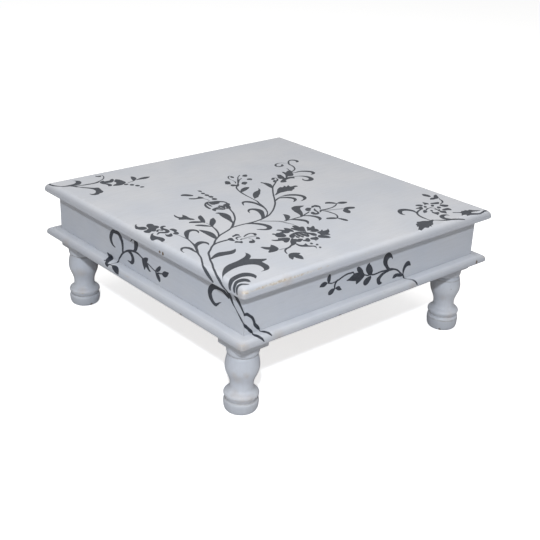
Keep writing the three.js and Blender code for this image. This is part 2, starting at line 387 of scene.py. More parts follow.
# Knocks and stains of each leg, and the feet's belt of painted shade near the floor
leg_chips = {
    "front_left": [(20, 21, 1.5)],
    "front_right": [(216, 1.5, 2.4), (242, 60, 0.8), (246, 57.5, 0.8), (120, 3, 2)],
    "back_right": [(60, 2, 2.2), (20, 86, 1.6)],
    "back_left": [(266, 2, 2), (160, 23, 1.4)],
}
leg_stains = {
    "front_left": [(196, 50, 5), (236, 50, 6), (205, 43, 8), (196, 26, 7), (225, 21, 9), (257, 21, 7)],
    "front_right": [(215, 44, 7), (250, 21, 8)],
    "back_right": [(70, 38, 8), (30, 18, 7)],
    "back_left": [(228, 48, 9), (230, 24, 8), (180, 44, 7)],
}
# A belt of painted shade darkens the feet near the floor
painted_foot_shade = (8 * mm, 10 * mm, 0.16, painted_edge_shade)
grain_upright = (30, 30, 4)

for corner, (to_right, to_back) in leg_places.items():
    x, y = to_right * leg_axis, to_back * leg_axis
    chips, stains = on_leg(x, y, leg_chips[corner]), on_leg(x, y, leg_stains[corner])
    finish = painted_wood("paint_leg_" + corner, grain_upright, chips, stains, [painted_foot_shade])
    leg = turned_leg("turned_leg_" + corner, x, y, leg_leans[corner], leg_lifts[corner], finish)
    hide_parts("leg_" + corner)

# Base boards
# Four flat boards with mitred corners lie on the legs. Their outer edge is planed round on top
# and eased below, and shows as a moulding all round the table.

base_low, base_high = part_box("base_board_front")
half = -base_low.y
base_depth = base_high.y - base_low.y
base_thickness = base_high.z - base_low.z
base_edge_radius = 6 * mm
base_arris_radius = 2 * mm
base_inner_radius = 1 * mm
base_corner_radius = 1.6 * mm
base_ridge = (1.2 * mm, base_thickness - 2.2 * mm)
base_ridge_reach = 2.2 * mm
base_rub_wave = 45 * mm
mitre_gap = 0.05 * mm
board_step = 4 * mm
wide_round = 3 * mm
sides = {"front": 0, "right": 1, "back": 2, "left": -1}
grain_along_x = (3, 30, 30)
grain_along_y = (30, 3, 30)
# Painted light: a paler grey that a belt blends in to brighten the moulding's ledge
painted_ledge_light = srgb(232, 235, 240)


def by_side(turns, along_x, along_y):
    # The front and back boards lie along x, the right and left ones along y
    return along_x if turns % 2 == 0 else along_y


def quarter_round(centre, radius, start, steps):
    # Points and outward directions of a quarter circle that runs on from the angle start
    arc = []
    for k in range(steps + 1):
        angle = start + math.pi / 2 * k / steps
        out = (math.cos(angle), math.sin(angle))
        arc.append(((centre[0] + radius * out[0], centre[1] + radius * out[1]), out))
    return arc


def filled(start, end, out, step):
    # Points on a straight stretch between two corners, without its ends
    count = max(2, round(math.dist(start, end) / step))
    return [((start[0] + (end[0] - start[0]) * k / count, start[1] + (end[1] - start[1]) * k / count), out)
            for k in range(1, count)]


def board_section(depth, thickness, radii, step):
    # Round a board's section as ((inset, height), outward direction), from its outer lower edge on.
    # The radii are those of the outer lower, inner lower, inner upper and outer upper edge.
    places = [(radii[0], radii[0]), (depth - radii[1], radii[1]), (depth - radii[2], thickness - radii[2]),
              (radii[3], thickness - radii[3])]
    section = []
    for k, (place, radius) in enumerate(zip(places, radii)):
        arc = quarter_round(place, radius, math.pi * (1 + k / 2), 10 if radius > wide_round else 4)
        if section:
            section += filled(section[-1][0], arc[0][0], arc[0][1], step)
        section += arc
    section += filled(section[-1][0], section[0][0], section[0][1], step)
    return section


def quarter_turn(point, turns):
    return Matrix.Rotation(math.pi / 2 * turns, 3, "Z") @ Vector(point)


def ease_corner(x, y, half_side, radius):
    # Draws a point near a square's corner in to the corner's rounding
    centre = half_side - radius
    over = Vector((abs(x) - centre, abs(y) - centre))
    if over.x <= 0 or over.y <= 0 or over.length <= radius:
        return x, y
    over = over.normalized() * radius
    return math.copysign(centre + over.x, x), math.copysign(centre + over.y, y)


def mitred_board(name, section, outer, z, corner_radius, turns, finishes, aging):
    # A board along one side, from its section. Aging says how worn a place on it is, and how much dirt and
    # painted shade it has.
    rows = max(2, round(2 * outer / board_step))
    points, wear, dirt_and_painted_shade = [], [], []
    for row in range(rows + 1):
        along = 2 * row / rows - 1
        for (inset, height), (out_in, out_up) in section:
            x = along * (outer - inset - mitre_gap)
            x, y = ease_corner(x, inset - outer, outer - inset, corner_radius(inset))
            place = quarter_turn((x, y, z + height), turns)
            dip = planed(place)
            points.append(quarter_turn((x, y - out_in * dip, z + height - out_up * dip), turns))
            worn, dirt_and_shade_share = aging(inset, height, outer - inset - abs(x), place)
            wear.append(worn)
            dirt_and_painted_shade.append(dirt_and_shade_share)
    count = len(section)
    faces = joined_rings(rows + 1, count)
    faces += [tuple(range(count)), tuple(range(rows * count, (rows + 1) * count))]
    return make_piece(name, points, faces, finishes, {"wear": wear, "dirt_and_painted_shade": dirt_and_painted_shade})


def base_corner(inset):
    return base_corner_radius * (1 - 0.75 * min(1, inset / base_edge_radius))


def base_aging(inset, height, near_end, place):
    # Hands rub the upper ridge of the edge, most of all at the corners, and painted shade darkens its lower
    # edge
    ridge = bell(math.dist((inset, height), base_ridge), base_ridge_reach)
    patchy = 0.34 + 0.3 * noise.noise(place / base_rub_wave)
    return ridge * patchy + 0.3 * ridge * bell(near_end, 10 * mm), 0.2 * bell(height, 1.5 * mm)


def in_mm(*spots):
    # Marks as ((x, y, z), radius) in metres, from (x, y, z, radius) in mm
    return [((x * mm, y * mm, z * mm), radius * mm) for x, y, z, radius in spots]


base_radii = [base_arris_radius, base_inner_radius, base_inner_radius, base_edge_radius]
base_section = board_section(base_depth, base_thickness, base_radii, board_step)
base_chips = {
    "front": in_mm((181, -199, 97, 2.2), (-60, -200, 95, 1.2)),
    "left": in_mm((-200, -96, 95, 1.4)),
    "right": in_mm((199, 60, 98, 1.8)),
    "back": in_mm((-120, 200, 97, 2)),
}
base_stains = {
    "front": in_mm((-196, -199, 97, 9), (-150, -200, 96, 10), (60, -200, 96, 9)),
    "left": in_mm((-199, -196, 97, 8), (-200, 150, 96, 9)),
    "right": in_mm((200, -120, 96, 9)),
    "back": in_mm((80, 200, 96, 9)),
}
# A belt of painted shade darkens the middle of the edge, and a belt of painted light brightens the ledge
# above it
painted_moulding_shade_and_light = [
    (base_high.z - 5 * mm, 6 * mm, 0.26, painted_edge_shade),
    (base_high.z - 0.1 * mm, 0.9 * mm, 0.2, painted_ledge_light),
]

for side, turns in sides.items():
    grain = by_side(turns, grain_along_x, grain_along_y)
    finish = painted_wood("paint_base_" + side, grain, base_chips[side], base_stains[side], painted_moulding_shade_and_light)
    board = mitred_board(
        "moulded_base_board_" + side, base_section, half, base_low.z, base_corner, turns, [finish],
        base_aging,
    )
    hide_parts("base_board_" + side)

# Corner blocks and cleats
# Sawn blocks in the four corners take the legs' spigots, and a sawn cleat inside each apron
# holds the top. They are plain wood, left bare, because nobody sees them from above.

light_band = srgb(188, 148, 102)
dark_band = srgb(150, 108, 68)
wood_pores = srgb(96, 66, 42)
dusty_wood = srgb(172, 142, 108)


def bare_wood(name, grain):
    wood, tree, place = new_finish(name)
    stretched = add_node(tree, "Mapping", {"Vector": place, "Scale": grain}).outputs[0]
    bands = mottle(tree, stretched, 4, 5, Distortion=0.6)
    pores = mottle(tree, stretched, 30, 2)
    cloud = mottle(tree, place, 20, 2)
    colour = blend_colours(tree, map_value(tree, bands, 0.38, 0.62, 0, 1), light_band, dark_band)
    colour = blend_colours(tree, map_value(tree, pores, 0.58, 0.68, 0, 0.7), colour, wood_pores)
    colour = blend_colours(tree, map_value(tree, cloud, 0.4, 0.7, 0, 0.35), colour, dusty_wood)
    height = calculate(tree, "SUBTRACT", calculate(tree, "MULTIPLY", bands, 0.4), pores)
    feed_shader(tree, colour, map_value(tree, bands, 0.3, 0.7, 0.68, 0.82), height, 0.5, 0.3 * mm)
    return wood


wood_along_x = bare_wood("bare_wood_along_x", (4, 60, 60))
wood_along_y = bare_wood("bare_wood_along_y", (60, 4, 60))
wood_upright = bare_wood("bare_wood_upright", (60, 60, 4))


def dress(node_name, finish):
    # A piece whose shape is right as it stands only gets its finish
    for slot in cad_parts[node_name].material_slots:
        slot.material = finish


for corner in leg_places:
    dress("corner_block_" + corner, wood_upright)
for side, turns in sides.items():
    dress("cleat_" + side, by_side(turns, wood_along_x, wood_along_y))

# Apron boards
# Four boards on edge with mitred corners make the box under the top. They are painted outside
# and left bare inside.

apron_low, apron_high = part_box("apron_front")
apron_outer = -apron_low.y
apron_thickness = apron_high.y - apron_low.y
# Paint fills the seam over the ledge, so the painted board is drawn down to the ledge's paint
seam_radius = 0.15 * mm
seam_fill = apron_low.z - base_high.z + seam_radius
apron_height = apron_high.z - apron_low.z + seam_fill
apron_arris_radius = 0.6 * mm
# Inside this distance from the table's middle a board is bare
bare_within = apron_outer - apron_thickness / 2 - 1 * mm


def apron_corner(inset):
    return max(0, apron_arris_radius - inset)


def apron_aging(inset, height, near_end, _):
    # The outer face is rubbed at its corners, with a little painted shade under the top
    outside = bell(inset, 1 * mm)
    return 0.2 * outside * bell(near_end, 1.5 * mm), 0.07 * bell(apron_height - height, 3 * mm) * outside


apron_radii = [seam_radius] + [apron_arris_radius] * 3
apron_section = board_section(apron_thickness, apron_height, apron_radii, board_step)

for side, turns in sides.items():
    finish = painted_wood("paint_apron_" + side, by_side(turns, grain_along_x, grain_along_y))
    bare = by_side(turns, wood_along_x, wood_along_y)
    board = mitred_board(
        "apron_board_" + side, apron_section, apron_outer, apron_low.z - seam_fill, apron_corner, turns,
        [finish, bare], apron_aging,
    )
    out = quarter_turn((0, -1, 0), turns)
    for face in board.data.polygons:
        if face.center.dot(out) < bare_within:
            face.material_index = 1
    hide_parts("apron_" + side)

# Top board
# A single wide board lies on the aprons and overhangs them. Its upper edge is planed to a
# full round, its lower edge is eased, and years of hands have rubbed and waved the edge.

top_low, top_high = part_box("top_panel")
top_thickness = top_high.z - top_low.z
top_edge_radius = 9 * mm
top_arris_radius = 3 * mm
top_corner_radius = 1.8 * mm
worn_corner_radius = 4 * mm
corner_fade = 0.75
flat_half = half - top_edge_radius
round_length = top_edge_radius * math.pi / 2
nose_drop = top_thickness - top_edge_radius - top_arris_radius
nose_wave_depth = 0.35 * mm
nose_wave_length = 60 * mm
# The back edge is bowed in, most of all at this place along it
back_bow = 1.6 * mm
bow_middle = 35 * mm
bow_reach = 70 * mm
# Hands rub the edge at this depth, and its front at these places, as (strength, middle, reach)
rub_depth = 4.2 * mm
rub_reach = 2 * mm
rub_wave = 40 * mm
front_rubs = [(0.45, -160 * mm, 70 * mm), (0.15, 10 * mm, 90 * mm)]
corner_rub = 0.25
most_top_rub = 0.9
# Ways along the top's edge at which its mesh has a ring of points: the rounding, then the arris
round_ways = [0.2 * mm, 0.7 * mm] + [round_length * k / 12 for k in range(1, 13)]
arris_ways = [round_length + nose_drop + top_arris_radius * math.pi / 2 * k / 5 for k in range(6)]


def nose(way):
    # The top's edge after a way along its face, as (how far out, how far down, direction out, direction up)
    if way <= 0:
        return 0, 0, 0, 1
    if way < round_length:
        sine, cosine = math.sin(way / top_edge_radius), math.cos(way / top_edge_radius)
        return top_edge_radius * sine, top_edge_radius * (1 - cosine), sine, cosine
    way -= round_length
    if way < nose_drop:
        return top_edge_radius, top_edge_radius + way, 1, 0
    angle = min((way - nose_drop) / top_arris_radius, math.pi / 2)
    sine, cosine = math.sin(angle), math.cos(angle)
    down = top_edge_radius + nose_drop + top_arris_radius * sine
    return top_edge_radius - top_arris_radius * (1 - cosine), down, cosine, -sine


def worn_top(point, out):
    # The board's face under the plane: the even skin, a bowed back edge and a slightly wavy nose
    way_out = max(abs(point.x), abs(point.y)) - (half - 2 * top_edge_radius)
    near_edge = min(1, max(0, way_out / (2 * top_edge_radius)))
    wave = nose_wave_depth * (0.5 + 0.5 * noise.noise(Vector((point.x, point.y, 0)) / nose_wave_length))
    bow = back_bow * bell(point.x - bow_middle, bow_reach) if point.y > abs(point.x) else 0
    return point - out * planed(point) - Vector((out.x, out.y, 0)) * near_edge * (wave + bow)


def on_top(x, y):
    # The nominal point and outward direction of a place on the top, measured along its faces
    edges = [nose(max(0, abs(c) - flat_half)) for c in (x, y)]
    places = [math.copysign(min(abs(c), flat_half) + edge[0], c) for c, edge in zip((x, y), edges)]
    outs = [math.copysign(edge[2], c) for c, edge in zip((x, y), edges)]
    lower = max(edges, key=lambda edge: edge[1])
    return Vector((*places, top_high.z - lower[1])), Vector((*outs, lower[3])).normalized()


def top_wear(point):
    # A faint rub all round the edge, stronger in places along the front and at the corners
    ridge = bell(top_high.z - point.z - rub_depth, rub_reach)
    rub = 0.3 + 0.2 * noise.noise(point / rub_wave)
    if point.y < -flat_half and abs(point.x) < abs(point.y) + 1 * mm:
        rub += sum(strength * bell(point.x - middle, reach) for strength, middle, reach in front_rubs)
    if abs(point.x) > flat_half and abs(point.y) > flat_half:
        rub += corner_rub
    return ridge * min(rub, most_top_rub)


def top_board(name, finishes):
    # The upper and lower face are grids of points, and rings round the edge join their rims
    count = round(2 * flat_half / board_step)
    line = [flat_half * (2 * k / count - 1) for k in range(count + 1)]
    rim = ([(k, 0) for k in range(count)] + [(count, k) for k in range(count)]
           + [(k, count) for k in range(count, 0, -1)] + [(0, k) for k in range(count, 0, -1)])
    points, wear = [], []

    def put(point, out):
        points.append(worn_top(point, out))
        wear.append(top_wear(point))
        return len(points) - 1

    def face_grid(height, up):
        radius = top_corner_radius * (1 - corner_fade)
        grid = []
        for x in line:
            corners = [ease_corner(x, y, flat_half, radius) for y in line]
            grid.append([put(Vector((*corner, height)), Vector((0, 0, up))) for corner in corners])
        return grid

    def ring_at(way):
        out_by, down, outward, up = nose(way)
        fade = 1 - corner_fade * min(1, (top_edge_radius - out_by) / top_edge_radius)
        stretch = (flat_half + out_by) / flat_half
        ring = []
        for i, j in rim:
            x, y = line[i], line[j]
            radius = fade * (worn_corner_radius if x < 0 and y < 0 else top_corner_radius)
            away = Vector((x if i in (0, count) else 0, y if j in (0, count) else 0, 0))
            out = away.normalized() * outward + Vector((0, 0, up))
            x, y = ease_corner(x * stretch, y * stretch, flat_half + out_by, radius)
            ring.append(put(Vector((x, y, top_high.z - down)), out.normalized()))
        return ring

    upper = face_grid(top_high.z, 1)
    lower = face_grid(top_low.z, -1)
    rings = [ring_at(way) for way in round_ways + arris_ways]
    rings = [[upper[i][j] for i, j in rim]] + rings + [[lower[i][j] for i, j in rim]]
    faces = []
    for grid in (upper, lower):
        faces += [(grid[i][j], grid[i + 1][j], grid[i + 1][j + 1], grid[i][j + 1])
                  for i in range(count) for j in range(count)]
    for first, second in zip(rings, rings[1:]):
        for k in range(len(rim)):
            after = (k + 1) % len(rim)
            faces.append((first[k], first[after], second[after], second[k]))
    board = make_piece(name, points, faces, finishes, {"wear": wear, "dirt_and_painted_shade": [0.0] * len(points)})
    box_inside = apron_outer - apron_thickness / 2
    underside = top_low.z + 0.5 * mm
    for face in board.data.polygons:
        x, y, z = face.center
        if z < underside and max(abs(x), abs(y)) < box_inside:
            face.material_index = 1
    return board


top_grain = (3, 24, 24)
top_chips = in_mm((-200, -56, 154.8, 2), (-200, -62.5, 154.8, 2), (120, 198, 158, 2))
top_stains = in_mm((-199, -196, 156, 10), (-140, -199, 157, 9), (150, 199, 157, 10), (199, 40, 157, 9))
# A belt of painted shade darkens the top's rounded edge
painted_top_edge_shade = (top_high.z - 5.7 * mm, 5.2 * mm, 0.3, painted_edge_shade)
top_paint = painted_wood("paint_top", top_grain, top_chips, top_stains, [painted_top_edge_shade])
top = top_board("top_board", [top_paint, wood_along_x])
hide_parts("top_panel")

# Wood screws
# Zinc plated countersunk screws with a cross recess hold the cleats, the top and the base.
# Each kind stands in the same two places on every side of the table.

shank_radius = 1.75 * mm
thread_core_radius = shank_radius * 0.78
head_radius = 3.4 * mm
head_depth = 2.2 * mm
rim_chamfer = 0.2 * mm
rim_height = 0.15 * mm
point_length = 3 * mm
thread_pitch = 1.6 * mm
slant_ends = 4 * mm
recess_radius = 2 * mm
recess_notch = 0.45 * mm
recess_depth = 1.4 * mm
sinks_by = 0.1 * mm
sharp_thread_edge = math.radians(35)
bright_zinc = srgb(205, 205, 200)
yellowed_zinc = srgb(188, 182, 160)
dull_zinc = srgb(140, 132, 118)


def plated_steel(name):
    steel, tree, place = new_finish(name)
    bloom = mottle(tree, place, 600, 4)
    cloud = mottle(tree, place, 90, 2)
    colour = blend_colours(tree, map_value(tree, cloud, 0.4, 0.65, 0, 1), bright_zinc, yellowed_zinc)
    colour = blend_colours(tree, map_value(tree, bloom, 0.6, 0.72, 0, 0.6), colour, dull_zinc)
    feed_shader(tree, colour, map_value(tree, bloom, 0.3, 0.7, 0.28, 0.5))
    tree.nodes["Principled BSDF"].inputs["Metallic"].default_value = 1
    return steel


screw_steel = plated_steel("zinc_plated_steel")


def screw_mesh(name, length):
    # One screw, point up from its head's flat face at height 0, with a thread and a cross recess
    around = 16
    arms = [recess_radius if k % 4 == 0 else recess_notch for k in range(around)]
    outline = [(head_radius - rim_chamfer, 0), (head_radius, rim_height), (shank_radius, head_depth)]
    height = head_depth + thread_pitch
    while height < length - point_length:
        outline += [(thread_core_radius, height), (shank_radius, height + thread_pitch * 0.3),
                    (thread_core_radius, height + thread_pitch * 0.6)]
        height += thread_pitch
    outline.append((thread_core_radius, length - point_length))
    rings = [([arm * 0.4 for arm in arms], recess_depth), (arms, 0)]
    rings += [([radius] * around, level) for radius, level in outline]
    work = bmesh.new()
    rows = []
    for radii, level in rings:
        is_threaded = head_depth + thread_pitch * 0.5 < level < length - slant_ends
        row = []
        for k, radius in enumerate(radii):
            angle = 2 * math.pi * k / around
            lift = thread_pitch * k / around if is_threaded else 0
            row.append(work.verts.new((radius * math.cos(angle), radius * math.sin(angle), level + lift)))
        rows.append(row)
    for first, second in zip(rows, rows[1:]):
        for k in range(around):
            work.faces.new((first[k], first[(k + 1) % around], second[(k + 1) % around], second[k]))
    for row, level in ((rows[0], recess_depth), (rows[-1], length)):
        tip = work.verts.new((0, 0, level))
        for k in range(around):
            work.faces.new((row[k], row[(k + 1) % around], tip))
    bmesh.ops.recalc_face_normals(work, faces=work.faces)
    mesh = bpy.data.meshes.new(name)
    work.to_mesh(mesh)
    work.free()
    mesh.shade_smooth()
    mesh.set_sharp_from_angle(angle=sharp_thread_edge)
    return mesh


def round_the_table():
    # A node tree that sets a screw in two places on the front and repeats them on all four sides
    tree = bpy.data.node_groups.new("screws_round_the_table", "GeometryNodeTree")
    sockets = tree.interface
    sockets.new_socket("Screw", in_out="INPUT", socket_type="NodeSocketGeometry")
    for name in ("Along", "From the middle", "Height", "Lean"):
        sockets.new_socket(name, in_out="INPUT", socket_type="NodeSocketFloat")
    sockets.new_socket("Finish", in_out="INPUT", socket_type="NodeSocketMaterial")
    sockets.new_socket("Screws", in_out="OUTPUT", socket_type="NodeSocketGeometry")
    given = tree.nodes.new("NodeGroupInput").outputs
    result = tree.nodes.new("NodeGroupOutput")

    def add(kind, **links):
        made = tree.nodes.new(kind)
        for socket, value in links.items():
            target = made.inputs[socket.replace("_", " ")]
            if isinstance(value, bpy.types.NodeSocket):
                tree.links.new(value, target)
            else:
                target.default_value = value
        return made

    def times(value, factor):
        made = add("ShaderNodeMath", Value=value)
        made.operation = "MULTIPLY"
        made.inputs[1].default_value = factor
        return made.outputs[0]

    front = times(given["From the middle"], -1)
    lean = add("ShaderNodeCombineXYZ", X=given["Lean"]).outputs[0]
    pair = add("GeometryNodeJoinGeometry")
    for end in (times(given["Along"], -1), given["Along"]):
        spot = add("ShaderNodeCombineXYZ", X=end, Y=front, Z=given["Height"]).outputs[0]
        there = add("GeometryNodeTransform", Geometry=given["Screw"], Translation=spot, Rotation=lean)
        tree.links.new(there.outputs[0], pair.inputs[0])
    middle = add("GeometryNodeMeshLine", Count=4)
    middle.inputs["Offset"].default_value = (0, 0, 0)
    index = add("GeometryNodeInputIndex").outputs[0]
    heading = add("ShaderNodeCombineXYZ", Z=times(index, math.pi / 2)).outputs[0]
    turned = add("GeometryNodeInstanceOnPoints", Points=middle.outputs[0], Instance=pair.outputs[0],
                 Rotation=heading)
    real = add("GeometryNodeRealizeInstances", Geometry=turned.outputs[0])
    finished = add("GeometryNodeSetMaterial", Geometry=real.outputs[0], Material=given["Finish"])
    tree.links.new(finished.outputs[0], result.inputs[0])
    return tree


screw_tree = round_the_table()


def set_screws(name, node_stem, is_level):
    # The eight screws of one kind, placed where those of the front side stand in the CAD model
    low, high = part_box(f"{node_stem}_front_2")
    along = (low.x + high.x) / 2
    if is_level:
        length, out, level, lean = high.y - low.y, -high.y + sinks_by, (low.z + high.z) / 2, math.pi / 2
    else:
        length, out, level, lean = high.z - low.z, -(low.y + high.y) / 2, low.z - sinks_by, 0
    maker = put_in_scene(name + "_maker", screw_mesh(name + "_one", length))
    modifier = maker.modifiers.new("round_the_table", "NODES")
    modifier.node_group = screw_tree
    values = {"Along": along, "From the middle": out, "Height": level, "Lean": lean, "Finish": screw_steel}
    for socket in screw_tree.interface.items_tree:
        if socket.in_out == "INPUT" and socket.name in values:
            modifier[socket.identifier] = values[socket.name]
    shown = maker.evaluated_get(bpy.context.evaluated_depsgraph_get())
    mesh = bpy.data.meshes.new_from_object(shown)
    mesh.name = name
    bpy.data.objects.remove(maker)
    screws = put_in_scene(name, mesh)
    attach(screws, "root")
    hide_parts(*[f"{node_stem}_{side}_{k}" for side in sides for k in (1, 2)])


set_screws("screws_into_the_top", "top_screw", False)
set_screws("screws_through_the_cleats", "cleat_screw", True)
set_screws("screws_into_the_aprons", "apron_screw", False)
set_screws("screws_into_the_blocks", "block_screw", False)

# Painted vine
# A flowering vine in thin dark grey paint, brushed freehand on the top, down its rounded edge,
# and over the aprons and the moulding. It is drawn here in mm, stroke by stroke.

# The film's thickness over and under the boards' skin
film_rise = 0.1 * mm
film_sink = 0.05 * mm
# How finely strokes, outlines and what runs over a rounded edge are drawn, in mm
stroke_step = 1.5
shape_step = 1.2
edge_step = 1.1
# A turn in an outline that stays sharp, in degrees, and the least sizes that are drawn, in mm
sharp_turn = 65
least_width = 0.35
sliver_width = 0.01
least_gap = 0.004
round_end_steps = 6
# How far from the middle, in mm, a film gets finer points to bend round the edge or the corner
top_bends_from = 190
apron_bends_from = 183
ledge_bends_from = 193

